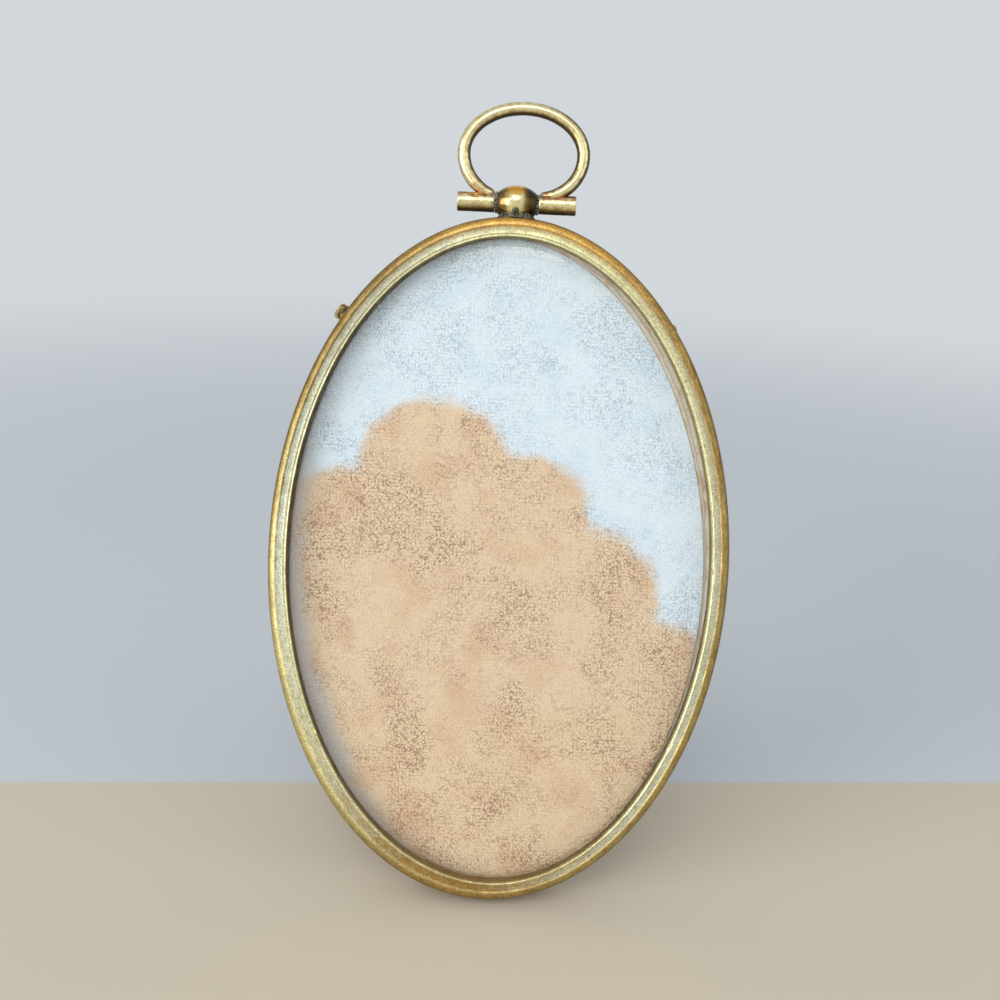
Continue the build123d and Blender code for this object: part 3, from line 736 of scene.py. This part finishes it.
        # Distance out from the print's edge, in shares of the print's size
        turn = (Matrix((ACROSS, UP, OUT)).transposed() @ Matrix.Rotation(PRINT_TURN, 3, "Z")).to_euler()
        on_print = add(tree, "Mapping", {
            "Vector": place, "Rotation": turn, "Scale": (PRINT_HALF_WIDTH, PRINT_HALF_HEIGHT, 1),
            "Location": CENTRE + ACROSS * PRINT_SLIP[0] + UP * PRINT_SLIP[1] + OUT * GLASS_BACK,
        }, vector_type="TEXTURE")
        away = add(tree, "VectorMath", (on_print,), operation="LENGTH")
        wavering = add(tree, "Math", (spots, 0.04, away), operation="MULTIPLY_ADD")
        line = add(tree, "Math", (wavering, 1.031), operation="SUBTRACT")
        line = add(tree, "Math", (line,), operation="ABSOLUTE")
        tide = add(tree, "MapRange", (line, 0.001, 0.007, 0.85, 0.0))
        broken = add(tree, "Math", (tide, fibres), operation="MULTIPLY")
        stained = add(tree, "Mix", {0: broken, 6: buff, 7: colours.card_stain}, data_type="RGBA")
        final = add(tree, "VectorMath", {0: stained, "Scale": brightness}, operation="SCALE")
        bumpy_surface(tree, final, fibres, 0.03 * MM, 0.7, {"Roughness": 0.85, "Specular IOR Level": 0.2})
        return made

    def stained_board(self, colours):
        """Thin sawn softwood, stained dark and waxed: long grain up the board, dull low sheen."""
        made, tree = new_material("stained_softwood_board")
        place = add(tree, "TexCoord", out="Object")
        stretched = add(tree, "Mapping", {
            "Vector": place, "Scale": (per(1.1 * MM), per(9 * MM), per(14 * MM)),
        })
        grain = add(tree, "TexNoise", {
            "Vector": stretched, "Scale": 1.0, "Detail": 5.0, "Roughness": 0.6, "Distortion": 0.4,
        })
        wood = add(tree, "ValToRGB", (grain,), stops=(
            (0.32, linear("2E1D12")), (0.5, linear("543823")), (0.7, colours.board_brown),
        ))
        bumpy_surface(tree, wood, grain, 0.05 * MM, 0.6, {"Roughness": 0.55, "Specular IOR Level": 0.4})
        return made


def from_pin(across, up, out):
    """Points given from the middle of the bow's pin, in the frame's own axes."""
    return np.stack([PIN_ACROSS + across, PIN_UP + up, PIN_OUT + out], -1)


def turned(profile, steps=72):
    """Rings of a piece turned about the bow's pin, from (along, radius) points, and their angles."""
    turns = around(steps)
    return np.array([
        from_pin(np.full(steps, along), radius * np.cos(turns), radius * np.sin(turns))
        for along, radius in profile
    ]), turns


def swollen(rings, share):
    """Turned rings grown about the pin by a share at each point."""
    axis = np.array([PIN_UP, PIN_OUT])
    rings[..., 1:] = axis + (rings[..., 1:] - axis) * share[..., None]


def lumpy(name, pattern, scale, stops, depth, shine):
    """A dull lumpy skin, bright in specks and black in the hollows; pattern and shine are sockets' values."""
    made, tree = new_material(name)
    place = add(tree, "TexCoord", out="Object")
    lumps = add(tree, "TexNoise", {"Vector": place, "Scale": per(scale), "Detail": 4.0, **pattern})
    colour = add(tree, "ValToRGB", (lumps,), stops=stops)
    bumpy_surface(tree, colour, lumps, depth, 0.9, shine)
    return made


class OVALFRAME_OT_finial(bpy.types.Operator):
    """Make the ball, the solder that holds it to the rim, and the crust in its gaps"""

    bl_idname = "ovalframe.finial"
    bl_label = "Ball and solder"

    # The ball's rounded edge, and how far it and its solder are let into the rim
    ball_edge = 0.2 * MM
    seat_depth = 0.05 * MM

    # The skirt of solder, in millimetres: half size at its top, what it gains at its foot, and its height
    skirt_width, skirt_depth = (2.85, 0.85), (2.3, 0.75)
    skirt_height, skirt_waver = 1.3, 0.35
    skirt_back, skirt_front = 0.5 * MM, 7.0 * MM

    # The dab on the front: its radius and rise, and its middle from the rim's top and the bow's pin
    dab_radius, dab_rise = 0.62 * MM, 0.35 * MM
    dab_left, dab_up, dab_out = 0.15 * MM, 1.25 * MM, 2.62 * MM

    def execute(self, context):
        sizes, colours = context.scene.oval_frame_sizes, context.scene.oval_frame_colours
        self.ball(sizes.ball_radius, colours)
        self.solder(colours)
        self.crusts(colours)
        return {"FINISHED"}

    def ball(self, radius, colours):
        ends = (-BALL_HALF_WIDTH, BALL_SIDE_RADIUS), (BALL_HALF_WIDTH, BALL_SIDE_RADIUS)
        bulge = arc_through(ends[0], (0, radius), ends[1], 41)
        bulge = [(x, r) for x, r in bulge if abs(x) < BALL_HALF_WIDTH - self.ball_edge / 2]
        side = np.linspace(PIN_RADIUS, BALL_SIDE_RADIUS - self.ball_edge / 2, 4)
        bore = [(x, PIN_RADIUS) for x in np.linspace(BALL_HALF_WIDTH, -BALL_HALF_WIDTH, 5)[1:-1]]
        left, right = ([(x, r) for r in side] for x in (-BALL_HALF_WIDTH, BALL_HALF_WIDTH))
        rings, _ = turned(left + bulge + right[::-1] + bore, 120)
        # Filed underneath to sit on the rim
        rings[..., 1] = np.maximum(rings[..., 1], rim_top(rings[..., 0]) - self.seat_depth)
        across, up = rings[..., 0] - PIN_ACROSS, rings[..., 1] - PIN_UP
        streaks = flecks(rings * np.array([1.0, 0.25, 1.0]), 0.7 * MM, 3)
        side_share = across / BALL_HALF_WIDTH
        sides = np.clip((np.abs(across) - 2.7 * MM) / (0.6 * MM), 0, 1)
        foot = np.clip((-up - 1.5 * MM) / (0.9 * MM) + 0.4 * streaks, 0, 1)
        # Painted light: the cream middle is a painted highlight and the orange over the top a painted
        # reflection; the brown and dark films darken the sides, the ends by the knuckles and the foot by the
        # solder as painted shade
        patina = films(
            colours.cream_brass,
            (colours.yellow_brass, 0.6 + 0.6 * streaks),
            (colours.ball_orange, (up / radius - 0.2) * 3 + 0.5 * streaks),
            (colours.brown_tarnish, np.clip((-side_share - 0.38) * 4 + 0.3 * streaks, 0, 0.95)),
            (colours.brown_tarnish, np.clip((side_share - 0.25) * 5 + 0.3 * streaks, 0, 0.95)),
            (colours.dark_tarnish, np.clip((side_share - 0.42) * 4 + 0.2 * streaks, 0, 0.92)),
            (colours.dark_tarnish, sides * 0.85),
            (colours.dark_tarnish, foot * 0.85),
        )
        paint = {"patina": patina, "grime": np.clip(foot * 0.6 + sides * 0.4, 0, 1)}
        brass = aged_brass("turned_polished_brass", rough=0.18, film=0.15, grain=0.12)
        made = surface_mesh("finial_ball_turned", rings, brass, paint, sharp=45, closed=True)
        settle(made, "frame", "polished_brass", "finial_ball")

    def solder(self, colours):
        """A ragged skirt of solder from the ball down to the rim, with one small dab on the front."""
        turns = around(160)
        ragged = 1 + 0.09 * wander(turns, (3, 5, 9, 14, 23), 8)
        top = RIM_HALF_HEIGHT + (self.skirt_height + self.skirt_waver * wander(turns, (2, 4, 7, 12), 5)) * MM
        rings = []
        for share in np.linspace(0, 1, 12):
            flare = share**1.8
            half_width, half_depth = (
                (start + gain * flare * ragged) * MM for start, gain in (self.skirt_width, self.skirt_depth)
            )
            across = PIN_ACROSS + half_width * np.cos(turns)
            seat = rim_top(across) - self.seat_depth
            out = np.clip(PIN_OUT + half_depth * np.sin(turns), self.skirt_back, self.skirt_front)
            rings.append(np.stack([across, top + (seat - top) * share, out], -1))
        rings = np.array(rings)
        grow = 1 + 0.06 * flecks(rings, 0.5 * MM, 6)[..., None] * np.array([1, 0, 1])
        middle = np.array([PIN_ACROSS, 0, PIN_OUT])
        # Lead and tin solder left unfiled: dull grey metal, lumpy, black in its hollows
        unfiled = lumpy(
            "unfiled_soft_solder", {"Roughness": 0.6}, 0.45 * MM,
            ((0.4, linear("1E1C17")), (0.5, linear("8A897F")), (0.62, colours.solder_grey)),
            0.12 * MM, {"Metallic": 0.75, "Roughness": 0.48},
        )
        made = surface_mesh("solder_skirt", middle + (rings - middle) * grow, unfiled)
        settle(made, "frame", "grey_solder", "finial_solder")
        turns = around(36)
        dab = []
        for share in np.linspace(0.02, 1, 9):
            spread = self.dab_radius * math.sin(share * math.pi / 2)
            dab.append(np.stack([
                PIN_ACROSS - self.dab_left + spread * np.cos(turns),
                RIM_HALF_HEIGHT + self.dab_up + spread * 0.8 * np.sin(turns),
                0 * turns + PIN_OUT + self.dab_out + self.dab_rise * math.cos(share * math.pi / 2),
            ], -1))
        smear = aged_brass("thin_solder_smear", colours.solder_grey, rough=0.4, film=0.5)
        settle(surface_mesh("solder_dab", np.array(dab), smear), "frame", "grey_solder")

    def crusts(self, colours):
        """Green and black corrosion that fills the gaps between the ball and the knuckles."""
        crust = lumpy(
            "verdigris_crust", {}, 0.4 * MM,
            ((0.42, linear("171812")), (0.56, linear("8D9184")), (0.68, colours.verdigris)),
            0.1 * MM, {"Roughness": 0.85, "Specular IOR Level": 0.3},
        )
        start, end = BALL_HALF_WIDTH - 0.05 * MM, KNUCKLE_START - 0.06 * MM
        profile = ((start, 0.7), (start, 1.66), ((start + end) / 2, 1.6), (end, 1.64), (end, 0.7))
        for side, name in ((-1, "left"), (1, "right")):
            rings, turns = turned([(side * along, radius * MM) for along, radius in profile], 90)
            ragged = 1 + 0.3 * wander(turns, (1, 2, 5, 8, 13), 11 + side)
            swollen(rings, np.where(np.array([0, 1, 1, 1, 0])[:, None] > 0, ragged, 1.0))
            settle(surface_mesh(f"gap_crust_{name}", rings, crust, closed=True), "frame", "dark_pin")


class OVALFRAME_OT_bow(bpy.types.Operator):
    """Make the bow's wire and knuckles, and finish its pin"""

    bl_idname = "ovalframe.bow"
    bl_label = "Hanging bow"

    # The soldered ends of the wire are rounded over and drawn down to the tubes
    tip_length, taper_length, taper = 1.0 * MM, 4 * MM, 0.22

    def execute(self, context):
        sizes, colours = context.scene.oval_frame_sizes, context.scene.oval_frame_colours
        self.wire(sizes.wire_radius, colours)
        tube_brass = aged_brass("coppery_brass_tube", rough=0.27, grain=0.22)
        for side, name in ((-1, "left"), (1, "right")):
            self.knuckle(sizes.knuckle_radius, colours, side, name, tube_brass)
        refinish("bow_pin", aged_brass("darkened_pin_brass", colours.brown_tarnish, rough=0.5, film=0.6))
        return {"FINISHED"}

    def route(self):
        """The wire's centre line from the left knuckle over the arch to the right one."""
        def end_arc(side):
            start = np.array([BOW_SET_RIGHT + side * BOW_HALF_WIDTH, BOW_SHOULDER_HEIGHT])
            end = np.array([side * KNUCKLE_START, WIRE_END_HEIGHT])
            chord = end - start
            radius = chord.dot(chord) / (2 * side * -chord[0])
            centre = start - np.array([side * radius, 0])
            first = math.atan2(0, side)
            last = math.atan2(*(end - centre)[::-1])
            turn = (last - first + math.pi) % (2 * math.pi) - math.pi
            angles = np.linspace(first, first + turn, 90)
            return np.stack([centre[0] + radius * np.cos(angles), centre[1] + radius * np.sin(angles)], -1)

        arch = np.linspace(math.pi, 0, 260)
        top = np.stack([
            BOW_SET_RIGHT + BOW_HALF_WIDTH * np.cos(arch), BOW_SHOULDER_HEIGHT + BOW_RISE * np.sin(arch),
        ], -1)
        return np.concatenate([end_arc(-1)[::-1], top[1:-1], end_arc(1)])

    def wire(self, wire_radius, colours):
        route = self.route()
        along = np.gradient(route, axis=0)
        along /= np.linalg.norm(along, axis=1, keepdims=True)
        outward = np.stack([-along[:, 1], along[:, 0]], -1)
        run = np.concatenate([[0], np.cumsum(np.linalg.norm(np.diff(route, axis=0), axis=1))])
        to_end = np.minimum(run, run[-1] - run)
        tip = np.clip(1 - to_end / self.tip_length, 0, 1)
        drawn = 1 - self.taper * np.clip(1 - to_end / self.taper_length, 0, 1)
        wear = 1 + 0.012 * wander(run / run[-1] * 2 * math.pi, (3, 7, 12, 19), 21)
        radius = (wire_radius * drawn * np.sqrt(1 - 0.97 * tip**2) * wear)[:, None]
        turns = around(40)
        flat = route[:, None] + outward[:, None] * (radius * np.cos(turns))[..., None]
        rings = from_pin(flat[..., 0], flat[..., 1], radius * np.sin(turns))
        lumps = flecks(rings, 0.8 * MM, 9)
        outer_side = np.cos(turns)
        right_side = np.clip(flat[..., 0] / (9 * MM), 0, 1)
        middle = np.clip(1 - np.abs(outer_side - 0.1) / 0.55, 0, 1)
        inner = np.clip((-outer_side - 0.4) * 3.4 + 0.3 * lumps, 0, 0.97)
        outer = np.clip((outer_side - 0.82 + 0.4 * right_side) * 3 + 0.25 * lumps, 0, 0.9)
        ends = np.clip(1 - to_end / (6 * MM), 0, 1)[:, None] * np.clip(0.4 + lumps * 1.5, 0, 1)
        # Painted light: a cream highlight band along the middle, brown and dark painted shade along the inner
        # side and a dark painted edge on the outer side; the copper at the ends is a stain
        patina = films(
            colours.cream_brass,
            (colours.golden_brass, 0.3 + 0.5 * lumps),
            (colours.cream_brass, middle * 1.3 - 0.5 * lumps),
            (colours.brown_tarnish, inner),
            (colours.dark_tarnish, np.clip((-outer_side - 0.6) * 4 + 0.2 * lumps, 0, 0.95)),
            (colours.brown_tarnish, outer),
            (colours.dark_tarnish, np.clip(outer * 1.6 - 0.7, 0, 0.8)),
            (colours.copper_stain, ends * 0.7),
        )
        paint = {"patina": patina, "grime": np.clip(inner * 0.4 + outer * 0.3, 0, 1)}
        brass = aged_brass("drawn_round_brass", rough=0.22, film=0.15, grain=0.15)
        settle(surface_mesh("bow_wire_bent", rings, brass, paint), "bow", "drawn_brass", "bow_wire")

    def knuckle(self, radius, colours, side, name, brass):
        cut = KNUCKLE_CHAMFER
        profile = [(KNUCKLE_START, PIN_RADIUS), (KNUCKLE_START, radius - cut / 3)]
        profile += [(along, radius) for along in np.linspace(KNUCKLE_START + cut / 3, KNUCKLE_END - cut, 26)]
        for turn in np.linspace(0, math.pi / 2, 5)[1:]:
            profile.append((KNUCKLE_END - cut + cut * math.sin(turn), radius - cut + cut * math.cos(turn)))
        profile += [(KNUCKLE_END, PIN_RADIUS * 1.25), (KNUCKLE_END - 0.12 * MM, PIN_RADIUS)]
        rings, turns = turned([(side * along, r) for along, r in profile])
        lumps = flecks(rings, 0.9 * MM, 12 + side)
        swollen(rings, 1 + 0.012 * lumps)
        upward = np.cos(turns)
        glint = np.clip(1 - np.abs(upward - 0.05) / 0.5, 0, 1)
        under = np.clip(-upward * 1.5 - 0.35 + 0.25 * lumps, 0, 1)
        inner_end = np.array([max(0.0, 1 - (along - KNUCKLE_START) / (0.9 * MM)) for along, _ in profile])
        # Painted light: a cream highlight along the middle and brown and dark painted shade underneath; the
        # copper on top and the verdigris at the inner end are stains
        patina = films(
            colours.cream_brass,
            (colours.golden_brass, 0.25 + 0.6 * lumps),
            (colours.cream_brass, 1.2 * glint - 0.4 * lumps),
            (colours.copper_stain, np.clip(upward * 1.3 - 0.25 + 0.9 * lumps + 0.15 * side, 0, 0.8)),
            (colours.brown_tarnish, under),
            (colours.dark_tarnish, np.clip(-upward * 2.4 - 1.4 + 0.2 * lumps, 0, 0.9)),
            (colours.verdigris, np.clip(inner_end[:, None] * (0.5 + lumps), 0, 0.6)),
        )
        paint = {"patina": patina, "grime": under * 0.5}
        made = surface_mesh(f"knuckle_{name}_tube", rings, brass, paint, sharp=50, closed=True)
        settle(made, "bow", "coppery_brass", f"bow_knuckle_{name}")


class OVALFRAME_OT_strut(bpy.types.Operator):
    """Finish the side pins, the bracket with its rivets and hinge pin, and the strut"""

    bl_idname = "ovalframe.strut"
    bl_label = "Strut and fixings"

    # The loose side pin: its angle round the oval and its height above the rim's back edge
    pin_angle = 135
    pin_level = 1.45 * MM

    # The lump round it, in millimetres: height off the rim and radius
    lump = (
        (0.0, 1.85), (0.2, 1.6), (0.5, 1.36), (0.9, 1.26), (1.3, 1.24), (1.7, 1.22), (1.98, 1.12),
        (2.08, 0.85), (2.1, 0.4),
    )

    def execute(self, context):
        colours = context.scene.oval_frame_colours
        sheet = aged_brass("rolled_sheet_brass", colours.sheet_brass, rough=0.36, film=0.25, grain=0.2)
        worn = aged_brass("worn_pin_brass", colours.golden_brass, rough=0.3, film=0.3)
        for name in ("easel_strut", "strut_bracket"):
            refinish(name, sheet)
        for name in ("bracket_rivets", "strut_hinge_pin", "side_pins"):
            refinish(name, worn)
        self.pin_lump(context.scene.oval_frame_sizes, colours)
        return {"FINISHED"}

    def pin_lump(self, sizes, colours):
        """Old dirt and lacquer, hardened round the loose pin's shank and head: brown, with a pale tip painted
        as both a worn spot and its highlight.
        """
        at_pin = np.array([math.radians(self.pin_angle)])
        spot, inward = on_oval(at_pin, sizes.rim_half_width, sizes.rim_half_height)
        outward = -inward[0]
        tangent = np.array([-outward[1], outward[0]])
        turns = around(56)
        stand, radius = np.array(self.lump).T[..., None] * MM
        middle = np.zeros((len(self.lump), 1, 3))
        middle[:, 0, :2] = spot[0] + outward * stand
        middle[..., 2] = self.pin_level
        rings = np.repeat(middle, len(turns), 1)
        rings[..., :2] += tangent * (radius * np.cos(turns) + 0.05 * stand)[..., None]
        rings[..., 2] += radius * np.sin(turns)
        lumps = flecks(rings, 0.7 * MM, 31) * 0.6 + flecks(rings, 0.35 * MM, 32) * 0.5
        rings = middle + (rings - middle) * (1 + 0.4 * np.clip(lumps, 0, 1))[..., None]
        rings[..., :2] += outward * (0.12 * MM * lumps * (stand > 0.2 * MM))[..., None]
        tip = np.clip((stand - 1.5 * MM) / (0.8 * MM) + 1.6 * lumps, 0, 1)
        patina = films(
            colours.golden_brass, (colours.dark_tarnish, 0.55 - 3 * lumps), (colours.cream_brass, tip * 0.9)
        )
        dirt = aged_brass("lacquered_dirt_on_brass", rough=0.42)
        paint = {"patina": patina, "grime": (1 - tip) * 0.6}
        settle(surface_mesh("loose_pin_lump", rings, dirt, paint, sharp=70), "frame", "pin_brass")


def shown_rays(tree):
    """1 for what the camera, metal and glass show, and 0 for the light on matt things."""
    path = add(tree, "LightPath").node.outputs
    shown = add(tree, "Math", (path["Is Camera Ray"], path["Is Glossy Ray"]), operation="MAXIMUM")
    return add(tree, "Math", (shown, path["Is Transmission Ray"]), operation="MAXIMUM")


class OVALFRAME_OT_stage(bpy.types.Operator):
    """Make the pale floor, the soft lamps, the backdrop light and the camera"""

    bl_idname = "ovalframe.stage"
    bl_label = "Stage"

    # Soft lamps: name, place, size and power in watts. They point at the middle of the frame.
    lamps = (
        ("window_lamp", (-1.02, -0.79, 0.43), 0.85, 9.5),
        ("high_lamp", (-0.06, -0.67, 0.78), 0.4, 1.5),
        ("fill_lamp", (0.6, -0.35, 0.35), 0.5, 0.6),
    )
    lamp_aim = Vector((0, 0, 0.065))

    # The warm part of the floor ends on a line behind the frame, which lies level in the camera's picture
    warm_edge = 18.3 * MM
    warm_edge_slope = 0.081
    warm_edge_blur = 2 * MM

    # Further off than this the floor turns into the backdrop, by degrees
    floor_fade = (0.2, 0.7)

    # Camera, measured in the frame's own axes: it looks down on the leaning frame and is held a little askew
    camera_place = (-0.22 * MM, 27 * MM, 205 * MM)
    camera_pitch = math.radians(4.43)
    camera_roll = math.radians(2.64)
    camera_lens = 41.0

    def execute(self, context):
        sizes, colours = context.scene.oval_frame_sizes, context.scene.oval_frame_colours
        self.floor(context, sizes.floor_half_width, colours)
        self.backdrop(context, colours)
        for name, place, size, power in self.lamps:
            lamp = bpy.data.lights.new(name, "AREA")
            lamp.shape = "SQUARE"
            lamp.size = size
            lamp.energy = power
            made = bpy.data.objects.new(name, lamp)
            made.visible_camera = False
            made.location = place
            made.rotation_euler = (self.lamp_aim - Vector(place)).to_track_quat("-Z", "Y").to_euler()
            context.scene.collection.objects.link(made)
        self.camera(context)
        context.scene.view_settings.view_transform = "Standard"
        return {"FINISHED"}

    def floor(self, context, half, colours):
        """A matt painted table top: pale and warm by the frame, and the backdrop's cool grey behind it."""
        made, tree = new_material("pale_floor")
        soft = {"interpolation_type": "SMOOTHSTEP"}
        place = add(tree, "TexCoord", out="Object")
        parts = add(tree, "SeparateXYZ", (place,)).node.outputs
        behind = add(tree, "Math", (parts["X"], -self.warm_edge_slope, parts["Y"]), operation="MULTIPLY_ADD")
        away = add(tree, "MapRange", (behind, self.warm_edge, self.warm_edge + self.warm_edge_blur), **soft)
        colour = add(tree, "Mix", {0: away, 6: colours.floor_warm, 7: colours.backdrop_grey}, data_type="RGBA")
        surface = add(tree, "BsdfPrincipled", {"Base Color": colour, "Roughness": 0.8})
        # The far floor shows as the backdrop to the camera, and in metal and glass
        distance = add(tree, "VectorMath", (place,), operation="LENGTH")
        far = add(tree, "MapRange", (distance, *self.floor_fade), **soft)
        share = add(tree, "Math", (far, shown_rays(tree)), operation="MULTIPLY")
        glow = add(tree, "Emission", {"Color": colours.backdrop_grey, "Strength": 1.0})
        add(tree, "OutputMaterial", {"Surface": add(tree, "MixShader", (share, surface, glow))})
        mesh = bpy.data.meshes.new("floor")
        corners = [(-half, -half, 0), (half, -half, 0), (half, half, 0), (-half, half, 0)]
        mesh.from_pydata(corners, [], [(0, 1, 2, 3)])
        mesh.materials.append(made)
        floor = bpy.data.objects.new("floor", mesh)
        context.scene.collection.objects.link(floor)

    def backdrop(self, context, colours):
        """An even pale grey all round."""
        world = bpy.data.worlds.new("pale_room")
        world.use_nodes = True
        tree = world.node_tree
        tree.nodes.clear()
        # The camera, metal and glass see the pale backdrop; on matt things its light is a little less
        strength = add(tree, "MapRange", {"Value": shown_rays(tree), "To Min": 0.8, "To Max": 1.0})
        light = add(tree, "Background", {"Color": colours.backdrop_grey, "Strength": strength})
        add(tree, "OutputWorld", {"Surface": light})
        context.scene.world = world

    def camera(self, context):
        camera = bpy.data.cameras.new("camera")
        camera.sensor_width = 36
        camera.lens = self.camera_lens
        camera.clip_start = 0.01
        made = bpy.data.objects.new("camera", camera)
        across, up, out = self.camera_place
        made.location = CENTRE + ACROSS * across + UP * up + OUT * out
        forward = -(OUT * math.cos(self.camera_pitch)) - UP * math.sin(self.camera_pitch)
        level = forward.to_track_quat("-Z", "Y")
        made.rotation_mode = "QUATERNION"
        made.rotation_quaternion = level @ Quaternion((0, 0, 1), self.camera_roll)
        context.scene.collection.objects.link(made)
        context.scene.camera = made


OPERATORS = (
    OVALFRAME_OT_rim,
    OVALFRAME_OT_glass,
    OVALFRAME_OT_picture,
    OVALFRAME_OT_finial,
    OVALFRAME_OT_bow,
    OVALFRAME_OT_strut,
    OVALFRAME_OT_stage,
)


class OVALFRAME_PT_panel(bpy.types.Panel):
    """Lists the pieces of the frame"""

    bl_idname = "OVALFRAME_PT_panel"
    bl_label = "Oval Frame"
    bl_space_type = "VIEW_3D"
    bl_region_type = "UI"
    bl_category = "Oval Frame"

    def draw(self, context):
        for operator in OPERATORS:
            self.layout.operator(operator.bl_idname)
        for group in (context.scene.oval_frame_sizes, context.scene.oval_frame_colours):
            box = self.layout.box()
            for name in group.__annotations__:
                box.prop(group, name)


CLASSES = (FrameSizes, FrameColours, *OPERATORS, OVALFRAME_PT_panel)


def register():
    for kind in CLASSES:
        bpy.utils.register_class(kind)
    bpy.types.Scene.oval_frame_sizes = bpy.props.PointerProperty(type=FrameSizes)
    bpy.types.Scene.oval_frame_colours = bpy.props.PointerProperty(type=FrameColours)


def unregister():
    del bpy.types.Scene.oval_frame_colours
    del bpy.types.Scene.oval_frame_sizes
    for kind in reversed(CLASSES):
        bpy.utils.unregister_class(kind)


def main():
    register()
    bpy.ops.ovalframe.rim()
    bpy.ops.ovalframe.glass()
    bpy.ops.ovalframe.picture()
    bpy.ops.ovalframe.finial()
    bpy.ops.ovalframe.bow()
    bpy.ops.ovalframe.strut()
    bpy.ops.ovalframe.stage()
    bpy.context.view_layer.update()


if __name__ == "__main__":
    main()
